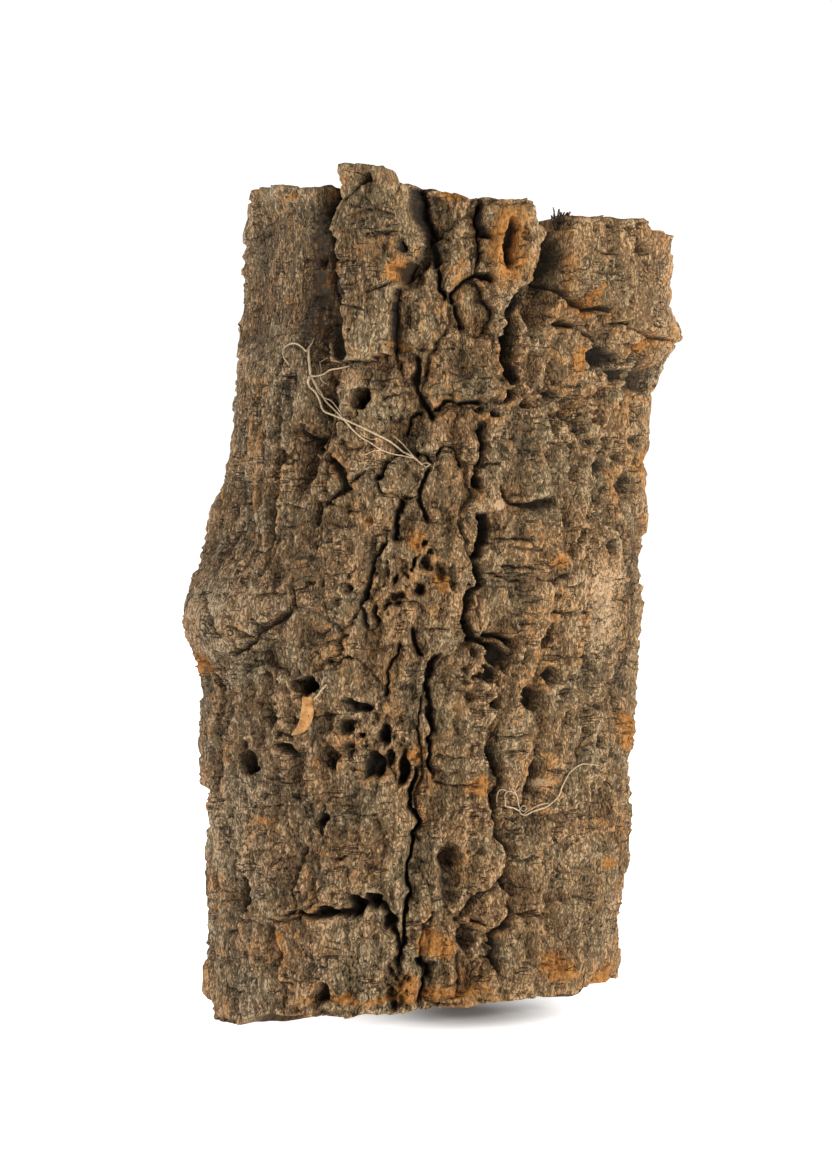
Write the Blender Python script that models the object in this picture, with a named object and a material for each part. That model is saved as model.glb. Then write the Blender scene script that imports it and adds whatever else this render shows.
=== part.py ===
"""A hollow length of cork oak branch: the bark left as a tube, sawn at both ends, standing upright.

The bark is one solid with a hollow right through it. Four small things are caught on it: two dried
rootlets, a dry leaf whose base is in a hole, and a tuft of lichen on the upper rim.

The frame is in metres, +Z up, with the origin on the surface that the tube stands on, under the
middle of its box. The face that is seen first looks along -Y. Sizes of the relief are worked out
in millimetres and turned to metres once, when a mesh is made.
"""

import math
from itertools import product

import bmesh
import bpy
import numpy as np
from mathutils import Vector, noise
from mathutils.bvhtree import BVHTree

MM = 0.001

# Driving dimensions, in millimetres
WALL = 33                   # thickness of the bark between its fissures
HOLLOW_ROUGHNESS = 2.2      # how far the inner face waves in and out
SAW_STOCK = 4               # what is modelled below the saw cut, and then cut off
TUBE_OFF_ORIGIN = (-10.1, -9.9)   # the tube's own axis, from the middle of its box

# The outer form without its relief: a rounded section, with its radius every 30 degrees from the
# front centre line round to the right, and how it leans to the right and widens on the way up.
SECTION_RADII = (71, 69, 79, 99, 118, 111, 103, 110, 111, 101, 100, 90)
LEAN = ((0, -3), (120, -1), (200, 0), (300, 9), (420, 23))
GIRTH_SCALE = ((0, 0.94), (90, 0.96), (200, 1.03), (300, 0.97), (420, 0.97))

# The front elevation is drawn as an eye sees it from here. Its points are (across, up) in
# millimetres, measured in the plane of the tube's axis, to the right of it and above the floor.
EYE_DISTANCE = 1200
EYE_HEIGHT = 235

# The upper edge on the elevation, from left to right. Round the back it keeps BACK_EDGE.
TOP_EDGE = (
    (-86, 405), (-60, 408), (-35.5, 407), (-33.5, 417), (-12.5, 417), (-10.5, 408), (30, 402),
    (50.5, 399), (53.5, 387), (76, 386), (79, 393), (107, 391), (112, 386), (118, 380), (123, 375),
    (129, 371),
)
BACK_EDGE = 394

# How far the outer lower edge is broken away above the saw's stock, as (angle in degrees, lift)
BASE_LIFT = (
    (-180, 5), (-140, 3), (-112, 16), (-92, 22), (-78, 15), (-68, 4), (-57, 3), (-49, 10),
    (-36, 12), (-20, 13), (0, 14), (35, 15), (70, 15), (100, 12), (130, 6), (180, 5),
)
# Only the outer wall is broken away, up to these shares of its thickness. Between the angles where
# the second list is 1, the wall is clear of the floor from the outer face to the hollow.
LIFTED_SHARES_OF_WALL = (0.4, 0.62)
WHOLLY_LIFTED = ((-180, 0), (-57, 0), (-46, 1), (84, 1), (108, 0), (180, 0))

# Plates that stand proud of the bark round them: (across, up, half width, half height, rise)
PLATES = (
    (-15.5, 398, 15.5, 78, 12), (-22, 306, 21, 15, 2.8), (23, 375, 12, 14, 3.5), (41, 372, 11, 28, 9),
    (28, 348, 9, 12, 2.1), (72, 336, 15, 30, 1.4), (94, 367, 18, 24, 4.9), (121, 352, 13, 33, 4.9),
    (21, 315, 22, 16, 5.6),
    (20, 286, 16, 13, 3.5), (-6, 256, 12, 12, 4.2), (12, 259, 9, 16, 2.8), (-36, 280, 17, 21, 3.5),
    (50, 279, 20, 21, 4.9), (52, 230, 23, 22, 4.9), (-23, 249, 12, 14, 2.8), (-92, 212, 22, 33, 2.8),
    (-58, 210, 17, 30, 2.1), (-36, 217, 12, 20, 2.1), (-62, 300, 15, 26, 0.7), (-84, 290, 12, 38, -1),
    (-64, 254, 15, 18, 1.4), (-82, 250, 9, 17, 0), (-60, 366, 27, 50, 0.7), (106, 214, 8, 44, 0),
    (0, 330, 10, 40, 1.4), (70, 300, 9, 12, 0.7),
    (2, 200, 26, 32, 4.9), (57, 192, 25, 21, 4.9), (87, 192, 14, 30, 4.2), (91, 290, 12, 26, 2.1),
    (21, 149, 14, 32, 4.9), (19, 91, 18, 26, 4.2), (33, 60, 11, 20, 3.5), (-73, 141, 16, 17, 4.2),
    (-33, 143, 15, 20, 3.5), (-25, 87, 24, 38, 4.9), (-65, 77, 17, 29, 3.5), (-38, 17, 28, 25, 5.6),
    (-81, 16, 17, 26, 4.9), (50, 140, 13, 27, 3.5), (72, 72, 26, 21, 3.5), (64, 29, 17, 24, 4.9),
    (88, 33, 11, 30, 2.1), (19, 20, 12, 19, 2.8), (-10, 9, 9, 13, 3.5), (-9, 132, 8, 22, 2.8),
)
# Broad swells of the whole wall: (across, up, half width, half height, rise)
SWELLS = (
    (-108, 194, 46, 23, 12), (-104, 238, 34, 26, -11), (-106, 158, 28, 16, -7), (-100, 300, 40, 60, -5),
    (-96, 318, 30, 16, 5), (-100, 45, 40, 50, 4), (-20, 366, 24, 60, 6), (-90, 350, 40, 40, 2),
    (60, 235, 40, 60, 4), (106, 110, 44, 66, 7), (104, 222, 30, 34, 5), (114, 158, 24, 18, -14),
    (116, 352, 26, 44, 6), (124, 329, 22, 13, 13),
)
# Stretches that lie deeper: (across, up, half width, half height, depth)
SUNKEN = (
    (-63, 360, 24, 52, 8), (-53, 284, 9, 30, 5), (107, 203, 8, 42, 4), (-98, 56, 10, 48, 4),
    (64, 364, 12, 36, 12),
    (78, 283, 9, 26, 6), (62, 318, 10, 16, 4),
    (0, 378, 6, 26, 6), (16, 64, 8, 18, 6), (92, 272, 15, 44, 4), (96, 118, 12, 24, 3),
    (36, 120, 5, 26, 4), (46, 328, 7, 24, 6),
)
# Deep cracks between the plates: (half width, depth, points on the elevation)
FISSURES = (
    (1.8, 9, ((2, 322.5), (-0.5, 319.5), (0, 311), (1.5, 305), (4, 299.5), (8, 291.5))),
    (1.4, 7, ((1.5, 297.5), (-2.5, 293.5), (-4, 288), (-4.5, 283.5))),
    (1.6, 8, ((7.5, 297.5), (12.5, 300), (16.5, 301.5), (24, 299), (28.5, 299), (32.5, 300))),
    (0.8, 3, ((-15.5, 301), (-12, 303), (-6, 304.5), (-1, 305))),
    (1.7, 9, ((33, 288), (32, 281.5), (31, 275), (30.5, 269), (28, 259), (29, 256.5))),
    (1.0, 6, ((9, 272), (12.5, 275), (16.5, 276.5), (19, 274), (19.5, 266.5))),
    (1.5, 8, ((5.5, 267.5), (4, 263), (1.5, 255), (2, 250.5), (5, 245), (7, 241))),
    (1.1, 5, ((-1, 276), (4.5, 273), (7, 270))),
    (1.4, 8, ((-14, 272), (-15.5, 266.5), (-17.5, 260))),
    (1.0, 5, ((-17.5, 260), (-14, 254), (-8, 250.5), (-1, 252), (1, 253))),
    (1.8, 10, ((-5, 251), (-9, 243), (-11, 237), (-9.5, 228.5))),
    (1.6, 8, ((-13.5, 231), (-18.5, 224), (-23, 216.5), (-26.5, 210), (-27.5, 201), (-25, 188))),
    (2.6, 13, ((29.5, 247), (32, 232), (28.5, 220.5))),
    (2.0, 12, ((28.5, 220.5), (32.5, 210), (27.5, 204), (24.5, 193.5), (26, 182), (33, 177),
               (41, 174.5))),
    (1.6, 10, ((12, 177.5), (9, 172.5), (5, 163), (4, 151), (8, 136), (8, 114))),
    (1.6, 8, ((-2.5, 186), (3, 173))),
    (1.4, 7, ((-9, 180), (-12.5, 171.5), (-13.5, 151))),
    (1.4, 12, ((-1, 119), (-2, 96), (1, 90), (-3, 76), (-4, 56), (-5, 36), (-9, 17))),
    (1.6, 10, ((38, 131), (39, 111), (37, 91), (45, 77), (43, 61), (45, 45), (39, 31), (39, 8))),
    (5.5, 11, ((-37.5, 414), (-37, 386), (-34, 361), (-33, 336), (-33, 318))),
    (1.6, 10, ((-34, 412), (-33.5, 386), (-30.5, 361), (-29.5, 336), (-29.5, 320))),
    (1.6, 7, ((-29, 398.5), (-23.5, 403), (-14, 409.5))),
    (1.2, 5, ((-20, 356), (-11, 358), (-4, 360.5), (1.5, 363.5))),
    (0.7, 2.5, ((-34.5, 374), (-26, 376), (-18, 375))),
    (0.7, 3, ((-16, 381), (-11, 383), (-4.5, 383))),
    (4.5, 9, ((3, 406), (4, 392), (6, 380), (9, 369))),
    (1.5, 9, ((9, 369), (11, 366), (12.5, 359), (16.5, 354.5))),
    (1.5, 8, ((18.5, 350), (19, 355.5), (22.5, 360.5), (28.5, 363), (37, 361))),
    (1.6, 7, ((20, 350), (21, 342), (23, 336))),
    (2.4, 8, ((31.5, 400), (32.5, 384.5), (35, 380))),
    (4.0, 14, ((54, 357), (47, 346), (46, 330), (48, 309))),
    (3.4, 9, ((70, 388), (71, 372), (71, 359))),
    (2.0, 9, ((67.5, 360), (75, 354), (84, 347), (92, 343.5), (92.5, 339))),
    (1.7, 9, ((69.5, 338.5), (78, 337), (85.5, 333.5), (91, 327), (98, 320.5))),
    (1.5, 7, ((90, 338), (98, 338.5), (107, 332), (122, 323))),
    (0.8, 3, ((125, 347), (124.5, 324.5))),
    (0.8, 4, ((85, 373), (92, 374))),
    (1.8, 7, ((40.5, 257), (43.5, 250.5), (51, 248), (62, 250))),
    (1.2, 5, ((27, 269), (38, 269))),
    (1.3, 5, ((34, 230), (43, 229), (51, 229))),
    (0.9, 3, ((41, 224.5), (55.5, 225))),
    (1.1, 4, ((33, 213), (48, 209.5))),
    (1.4, 6, ((60, 211.5), (67.5, 213))),
    (0.9, 4, ((64, 207.5), (72, 207))),
    (1.4, 6, ((61.5, 195), (72, 194))),
    (1.8, 9, ((96, 247), (97, 221), (97.5, 191), (96, 161))),
    (2.4, 5, ((-78.5, 301), (-79.5, 296.5), (-79, 281), (-80, 266), (-83, 258.5))),
    (2.4, 7, ((-59, 291), (-55.5, 282), (-49.5, 276), (-48.5, 269))),
    (2.0, 6, ((-41.5, 315.5), (-44.5, 306.5), (-43.5, 292), (-45.5, 286), (-46, 273))),
    (2.2, 8, ((-46, 273), (-36.5, 264), (-34, 257.5), (-40.5, 252), (-45.5, 248.5))),
    (2.6, 5, ((-70, 274), (-71, 264), (-71, 251))),
    (2.4, 5, ((-50, 252), (-49.5, 240))),
    (1.6, 5, ((-68.5, 289), (-71.5, 284))),
    (1.1, 6, ((-100, 205), (-95, 198), (-90, 187))),
    (1.0, 4, ((-87, 191), (-82, 185), (-77, 183))),
    (1.3, 5, ((-61.5, 210), (-59.5, 202.5), (-58, 195))),
    (2.2, 6, ((-58, 195), (-64.5, 190.5), (-71.5, 188), (-76.5, 181.5), (-86, 174))),
    (0.9, 4, ((-58.5, 204), (-53, 209), (-49.5, 210))),
    (1.0, 4, ((-44, 182), (-38, 183), (-33.5, 184.5))),
    (1.0, 4, ((-44, 170.5), (-38, 171), (-32.5, 174))),
    (1.4, 6, ((-53, 82), (-56, 61), (-57, 48))),
    (1.6, 6, ((-65, 39), (-64, 22), (-66, 16))),
    (1.8, 9, ((-62, 45), (-44, 43), (-28, 47), (-18, 49), (-10, 40), (-8, 22))),
    (1.4, 6, ((23, 41), (35, 57), (44, 65))),
    (1.2, 5, ((30, 42), (38, 36))),
    (1.1, 5, ((43, 45), (57, 45), (63, 56))),
    (1.8, 8, ((1, 23), (5, 13), (1, 0))),
    (1.4, 7, ((22, 24), (18, 4))),
    (2.6, 9, ((31, 182), (39, 181.5), (47, 181))),
)
# Sharp crests: (half width, height, points on the elevation)
RIDGES = (
    (1.6, 3, ((-77, 296.5), (-79, 273.5), (-79.5, 256.5), (-77, 242), (-75, 221), (-75, 202.5),
              (-80, 190.5))),
    (1.3, 3, ((-59.5, 280.5), (-57.5, 276), (-59, 271.5), (-63, 267.5), (-66, 260.5))),
    (1.6, 4, ((72, 302.5), (75.5, 299), (72, 291.5), (69, 280.5), (67, 268.5), (68, 253.5),
              (72.5, 247))),
    (1.2, 4, ((82, 307), (80.5, 299), (79, 291), (80.5, 285.5), (79, 278), (81.5, 274.5), (87.5, 270))),
    (1.2, 4, ((24.5, 181.5), (33, 169.5))),
    (1.3, 4, ((38.5, 170.5), (46.5, 161.5), (47, 151))),
)
# Holes and hollows that don't go through: (across, up, half width, half height, depth)
PITS = (
    (-68, 320, 2.2, 3, 8), (-45, 370, 4, 4, 9), (-5, 376, 2, 4, 8), (-3.5, 364, 2.2, 4.5, 8),
    (43, 379, 3, 11, 9), (93, 386, 1.5, 1.5, 6), (98, 385, 1.8, 2, 7), (102, 376, 3, 4, 8),
    (43, 304, 3.4, 3.4, 9), (66, 303, 4.5, 3.5, 7), (52, 300, 2.2, 2, 6), (50, 288, 2, 3.5, 4),
    (36, 293, 2, 2, 6), (31, 294, 2, 2, 6), (30, 260, 2.5, 3.5, 8), (75, 281, 5, 18, 11),
    (91, 304, 5, 5, 8), (92, 293, 4, 5, 9), (94, 271, 5, 7.5, 10), (103, 258, 3.5, 7.5, 7),
    (104, 280, 2.2, 2.2, 7), (77, 234, 3.2, 4, 9), (86, 246, 2.4, 5, 7), (68, 243, 1.6, 3.5, 6),
    (90, 228, 2.4, 3, 6), (91, 321, 6, 7, 10), (98, 313, 4, 4, 8), (106, 309, 4, 7, 7),
    (100, 328, 1.5, 5, 6), (-12, 209, 1.6, 1.6, 6), (0, 206, 1.5, 2.8, 7), (-6, 212, 1.6, 1.6, 5),
    (4, 230, 2, 2, 6), (0, 221, 1.5, 3, 6), (8, 225, 2, 1.5, 5), (62, 202, 1.4, 2.8, 6),
    (-21, 195, 1.5, 5, 8), (-29, 149, 7, 2.6, 9), (-18, 133, 3, 6, 9), (-64, 272, 2.5, 4, 5),
    (-21, 118, 6, 5, 11), (-7, 117, 2.6, 9, 11), (-64, 128, 5, 3, 8), (-82, 54, 3.6, 9, 12),
    (-47, 3, 4, 5, 8), (85, 130, 4, 4, 10), (91, 123, 2.6, 3, 8), (100, 120, 3, 8, 9),
    (78, 104, 2.8, 5, 11), (56, 113, 3, 8, 8), (55, 154, 6, 5, 9), (33, 163, 4, 5, 8),
    (37, 149, 4, 3, 10), (38, 172, 8, 6, 8), (-44, 44, 6, 3, 13), (-28, 48, 6, 4.5, 14),
    (-20, 50, 3.5, 4.5, 15), (-12, 40, 3, 4, 12), (-46, 92, 2.2, 8, 9), (-52, 280, 4, 6, 8),
    (27, 32, 5, 7, 6), (16, 72, 6, 8, 6), (46.5, 330, 5.5, 19, 11), (70, 369, 5.5, 15, 8),
)
# Holes right through the wall, into the hollow: (across, up, half width, half height)
THROUGH_HOLES = ((-79.5, 118.5, 4.6, 6), (-53, 157, 6, 4.6), (-26, 300, 4.6, 5.6))

# Where the bark is eaten away: (across, up, half width, half height, number of hollows, depth)
ERODED = (
    (94, 283, 13, 46, 26, 8), (72, 296, 12, 16, 7, 6), (0, 207, 16, 14, 9, 6), (52, 172, 24, 14, 8, 8),
    (96, 128, 10, 24, 9, 7), (-26, 128, 16, 12, 8, 6), (-4, 10, 10, 10, 7, 5),
    (104, 326, 12, 12, 8, 7), (48, 346, 8, 40, 8, 5), (88, 262, 16, 40, 30, 7), (-76, 150, 18, 14, 8, 4),
    (88, 150, 14, 8, 6, 6),
)

# Plates that aren't drawn, round the sides and the back, laid like rough brickwork
BRICK_WIDTH = 34            # from plate to plate round the girth
BRICK_HEIGHT = 52           # and up the branch
BRICK_JITTER = 11
BRICK_RISES = (0, 7)        # how far they stand out, from the least to the most

# Every plate
PLATE_DOME = 0.5            # how much its middle bulges
PLATE_TILT = 1.3            # how much it leans, at its edges
CRACK_DEPTH = 5             # of a crack that runs up the branch, where two plates meet
CROSS_CRACK_SHARE = 0.3     # how deep one that runs across is, next to that
SEED = 11

# Folds run up the bark, and are close and sharp where it is rilled. Calm bark has next to none.
FOLDS = 7.0
RILLS = 9.0
RILLED = ((-66, 262, 36, 66), (98, 285, 20, 56), (-101, 90, 12, 80), (100, 110, 16, 60))
CALM = ((-66, 354, 32, 60), (-75, 205, 44, 34), (102, 200, 18, 44), (-22, 364, 18, 48))

# The mesh that is carved, before it is thinned out
COLUMNS = 300
OUTER_ROWS = 170
RIM_ROWS = 8
INNER_ROWS = 50
BARK_FACES_KEPT = 0.053
POINTS_AT_ONCE = 20_000      # places that are compared with every plate at once

# What is caught on the bark. Every line is drawn on the elevation, as (across, up).
ROOTLET_RADIUS = 0.7
ROOTLET_CLEARANCE = 0.6     # between a strand and the bark where it comes nearest
ROOTLET_STEP = 3.4          # from ring to ring along a strand
ROOTLET_SIDES = 5
ROOTLET_JOIN_REACH = 4      # an end this near to an earlier strand grows out of it
UPPER_ROOTLETS = (
    # the stem, with its hooked top, and the long strand that runs down to the right
    ((-64, 319), (-66, 324), (-65, 329), (-60, 329.5), (-54, 327), (-53.5, 321), (-53, 313),
     (-54, 310), (-53, 307), (-50, 305), (-48, 301), (-46, 296), (-40, 293), (-27, 287),
     (-12.5, 280), (-6, 275), (1.5, 269.5), (3, 268)),
    ((-53.5, 326), (-52, 329.5), (-51, 332)),
    ((-53, 313), (-50, 313), (-46, 314), (-43, 316), (-39, 316.5), (-33, 318)),
    ((-53, 312.5), (-50, 308), (-45, 300), (-39, 294), (-32, 287), (-27.5, 282.5), (-22, 279),
     (-11, 274), (-5, 272.5), (-1, 272)),
    ((-17.5, 276), (-22, 275), (-25, 274), (-29, 273.5)),
)
LOWER_ROOTLETS = (
    ((91, 118), (87, 119), (83, 119), (80, 117.5), (77, 115), (73, 107.5), (68.5, 100), (65.5, 98),
     (58, 95), (54.5, 93.5), (52, 94.5), (48.5, 97), (45, 98), (44.5, 103.5), (46, 105),
     (50, 103), (51.5, 97)),
    ((40.5, 100), (41, 105), (44, 106), (46, 105)),
    ((47, 110.5), (48.5, 107), (50.5, 103)),
    ((66.5, 99), (61.5, 98.5), (56, 95.5)),
)
LEAF_LINE = ((-53.5, 153), (-54, 147), (-55, 142), (-57, 138), (-61.5, 134))
LEAF_HALF_WIDTHS = (2.7, 2.8, 2.8, 2.1, 0.5)
LEAF_STEP = 2.0
LEAF_THICKNESS = 0.8
LEAF_CURL = 1.2             # how far its long edges stand off behind its middle
LEAF_CLEARANCE = 0.5
TUFT_FOOT = (71, 386)       # on the upper rim
TUFT_BEHIND_EDGE = 8
TUFT_SIZE = (11, 6, 11)     # width, depth and height
TUFT_CLEARANCE = 0.4


def smooth_curve(at, knots, values):
    """A curve through the values at the knots, with no corners. It is flat past both ends."""
    knots, values = np.asarray(knots, float), np.asarray(values, float)
    slopes = np.gradient(values, knots)
    at = np.clip(at, knots[0], knots[-1])
    cell = np.clip(np.searchsorted(knots, at) - 1, 0, len(knots) - 2)
    span = knots[cell + 1] - knots[cell]
    t = (at - knots[cell]) / span
    start = values[cell] * (1 + 2 * t) * (1 - t) ** 2 + values[cell + 1] * t * t * (3 - 2 * t)
    return start + span * (slopes[cell] * t * (1 - t) ** 2 - slopes[cell + 1] * t * t * (1 - t))


def smooth_step(low, high, at):
    """0 below low, 1 above high, and a smooth rise between them."""
    t = np.clip((at - low) / (high - low), 0, 1)
    return t * t * (3 - 2 * t)


def section_radius(angle):
    """Radius of the section's smooth form, from the list of radii taken round the full turn."""
    count = len(SECTION_RADII)
    knots = np.radians(360 / count) * np.arange(-count, 2 * count + 1)
    return smooth_curve(np.asarray(angle) % (2 * math.pi), knots, np.resize(SECTION_RADII, len(knots)))


def form(angle, height, inward=0.0):
    """x and y of the smooth form at an angle from the front and a height, moved inward by a depth."""
    widening = smooth_curve(height, *zip(*GIRTH_SCALE))
    radius = section_radius(angle) * widening - inward
    return radius * np.sin(angle) + smooth_curve(height, *zip(*LEAN)), -radius * np.cos(angle)


dice = np.random.default_rng(5)
SHUFFLE = np.resize(dice.permutation(256), 512)
SLOPES = dice.normal(size=(256, 3))
SLOPES /= np.linalg.norm(SLOPES, axis=1, keepdims=True)

ROUND = np.linspace(-math.pi, math.pi, 721)


def girth_table():
    """Distance round the smooth section from its front centre line, at each angle of ROUND."""
    radius = section_radius(ROUND)
    steps = np.hypot(np.diff(radius * np.sin(ROUND)), np.diff(radius * np.cos(ROUND)))
    length = np.concatenate([[0], np.cumsum(steps)])
    return length - length[len(length) // 2]


GIRTH_AT = girth_table()
WHOLE_GIRTH = GIRTH_AT[-1] - GIRTH_AT[0]


def girth_of(angle):
    return np.interp(angle, ROUND, GIRTH_AT)


def place_seen(across, up):
    """Angle and height of the smooth form's point that the eye sees at a point of the elevation."""
    angles = np.radians(np.arange(-120, 131))
    height = up
    for _ in range(4):
        x, y = form(angles, height)
        seen = x * EYE_DISTANCE / (EYE_DISTANCE + y)
        first, last = np.argmin(seen), np.argmax(seen) + 1
        angle = np.interp(across, seen[first:last], angles[first:last])
        depth = np.interp(angle, angles, y)
        height = EYE_HEIGHT + (up - EYE_HEIGHT) * (EYE_DISTANCE + depth) / EYE_DISTANCE
    return angle, height


def unrolled(across, up):
    """The same point on the bark unrolled flat: distance round the girth, and height."""
    angle, height = place_seen(across, up)
    return np.array([girth_of(angle), height])


def unrolled_oval(across, up, half_width, half_height):
    """Centre and half sizes, on the unrolled bark, of an oval that is drawn on the elevation."""
    left, right = unrolled(across - half_width, up), unrolled(across + half_width, up)
    low, high = unrolled(across, up - half_height), unrolled(across, up + half_height)
    centre = (left[0] + right[0]) / 2, (low[1] + high[1]) / 2
    return (*centre, (right[0] - left[0]) / 2, (high[1] - low[1]) / 2)


def lattice_noise(points):
    """Gradient noise at each point, about -1 to 1, on a lattice of unit cubes."""
    cell = np.floor(points)
    inside = (points - cell).astype(np.float32)
    cell = cell.astype(np.int64) & 255
    fade = inside ** 3 * (inside * (inside * 6 - 15) + 10)
    total = np.zeros(len(points), np.float32)
    for corner in product((0, 1), repeat=3):
        i, j, k = (cell + corner).T
        pick = SHUFFLE[SHUFFLE[SHUFFLE[i] + j] + k]
        share = np.prod(np.where(corner, fade, 1 - fade), axis=1)
        total += share * np.einsum("ij,ij->i", SLOPES[pick], inside - corner)
    return 1.6 * total


def noise_at(points, size, seed, squash=1.0, octaves=3):
    """Fractal noise with lumps of that size in millimetres. A small squash draws them out upwards."""
    scaled = points * np.array([1, 1, squash]) / size + seed * 7.31
    return sum(lattice_noise(scaled * 2 ** k + 3.7 * k) / 2 ** k for k in range(octaves))


def line_distance(girth, height, line):
    """Distance of each point from a line of straight stretches, and its share of the way along."""
    nearest = np.full(len(girth), np.inf)
    along = np.zeros(len(girth))
    lengths = np.hypot(*np.diff(line, axis=0).T)
    starts = np.concatenate([[0], np.cumsum(lengths)])
    for k, (a, b) in enumerate(zip(line[:-1], line[1:])):
        way = b - a
        t = np.clip(((girth - a[0]) * way[0] + (height - a[1]) * way[1]) / (way @ way), 0, 1)
        gap = np.hypot(girth - a[0] - t * way[0], height - a[1] - t * way[1])
        closer = gap < nearest
        nearest[closer] = gap[closer]
        along[closer] = ((starts[k] + t * lengths[k]) / starts[-1])[closer]
    return nearest, along


def all_plates():
    """Every plate on the unrolled bark: its centre, half sizes, rise, tilts and crack depth. There is
    brickwork wherever no drawn plate reaches."""
    random = np.random.default_rng(SEED)
    plates = [(*unrolled_oval(*plate[:4]), plate[4]) for plate in PLATES]
    drawn = np.array(plates)
    count = round(WHOLE_GIRTH / BRICK_WIDTH)
    for column in range(count):
        for row in range(math.ceil(420 / BRICK_HEIGHT) + 1):
            girth = (column / count - 0.5) * WHOLE_GIRTH + random.uniform(-BRICK_JITTER, BRICK_JITTER)
            height = (row + 0.5 * (column % 2)) * BRICK_HEIGHT
            height += random.uniform(-BRICK_JITTER, BRICK_JITTER)
            half_width = BRICK_WIDTH / 2 * random.uniform(0.75, 1.2)
            half_height = BRICK_HEIGHT / 2 * random.uniform(0.75, 1.2)
            rise = random.uniform(*BRICK_RISES)
            reach = np.hypot(
                (drawn[:, 0] - girth) / drawn[:, 2], (drawn[:, 1] - height) / drawn[:, 3]
            )
            if reach.min() > 1.45:
                plates.append((girth, height, half_width, half_height, rise))
    plates = np.array(plates)
    tilts = random.uniform(-PLATE_TILT, PLATE_TILT, (len(plates), 2))
    cracks = CRACK_DEPTH * random.uniform(0.1, 1.2, (len(plates), 1))
    return np.hstack([plates, tilts, cracks])


def wrapped(girth):
    """The short way round the branch between two places on its girth."""
    return (girth + WHOLE_GIRTH / 2) % WHOLE_GIRTH - WHOLE_GIRTH / 2


def plate_relief(girth, level):
    """How far the plates stand out, and how deep the cracks between them are. A point belongs to the
    plate it is nearest to, counted in that plate's own half sizes. A crack runs where two plates are
    equally near."""
    table = all_plates()
    rise, crack = np.zeros((2, len(girth)))
    for start in range(0, len(girth), POINTS_AT_ONCE):
        part = slice(start, start + POINTS_AT_ONCE)
        u = wrapped(girth[part, None] - table[:, 0]) / table[:, 2]
        v = (level[part, None] - table[:, 1]) / table[:, 3]
        reach = np.hypot(u, v)
        nearest = np.argpartition(reach, 1, axis=1)[:, :2]
        order = np.argsort(np.take_along_axis(reach, nearest, 1), axis=1)
        nearest = np.take_along_axis(nearest, order, 1)
        reach, u, v = (np.take_along_axis(values, nearest, 1) for values in (reach, u, v))
        slopes = np.hypot(u / table[nearest, 2], v / table[nearest, 3]) / np.maximum(reach, 1e-6)
        border = (reach[:, 1] - reach[:, 0]) / slopes.sum(1)
        sideways = np.abs(np.diff(u / table[nearest, 2] / reach, axis=1)[:, 0]) / slopes.sum(1)
        own = table[nearest[:, 0]]
        rise[part] = own[:, 4] + PLATE_DOME * (1 - np.minimum(reach[:, 0], 1.3) ** 2)
        rise[part] += own[:, 5] * np.clip(u[:, 0], -1.2, 1.2) + own[:, 6] * np.clip(v[:, 0], -1.2, 1.2)
        slit = 0.85 * (1 - smooth_step(0.2, 1.4, border)) + 0.15 * np.exp(-((border / 2.4) ** 2))
        share = CROSS_CRACK_SHARE + (1 - CROSS_CRACK_SHARE) * smooth_step(0.3, 0.8, sideways)
        crack[part] = slit * share * own[:, 7]
    return rise, crack


def all_pits():
    """The drawn pits, and more at random in the eroded patches, on the unrolled bark."""
    random = np.random.default_rng(SEED + 1)
    pits = [(*unrolled_oval(*pit[:4]), pit[4]) for pit in PITS]
    for across, up, half_width, half_height, count, depth in ERODED:
        g, z, half_g, half_z = unrolled_oval(across, up, half_width, half_height)
        for _ in range(count):
            size = random.uniform(1.4, 3.6)
            pits.append((
                g + half_g * random.uniform(-1, 1), z + half_z * random.uniform(-1, 1),
                size, size * random.uniform(0.8, 1.6), depth * random.uniform(0.5, 1.1),
            ))
    return pits


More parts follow.
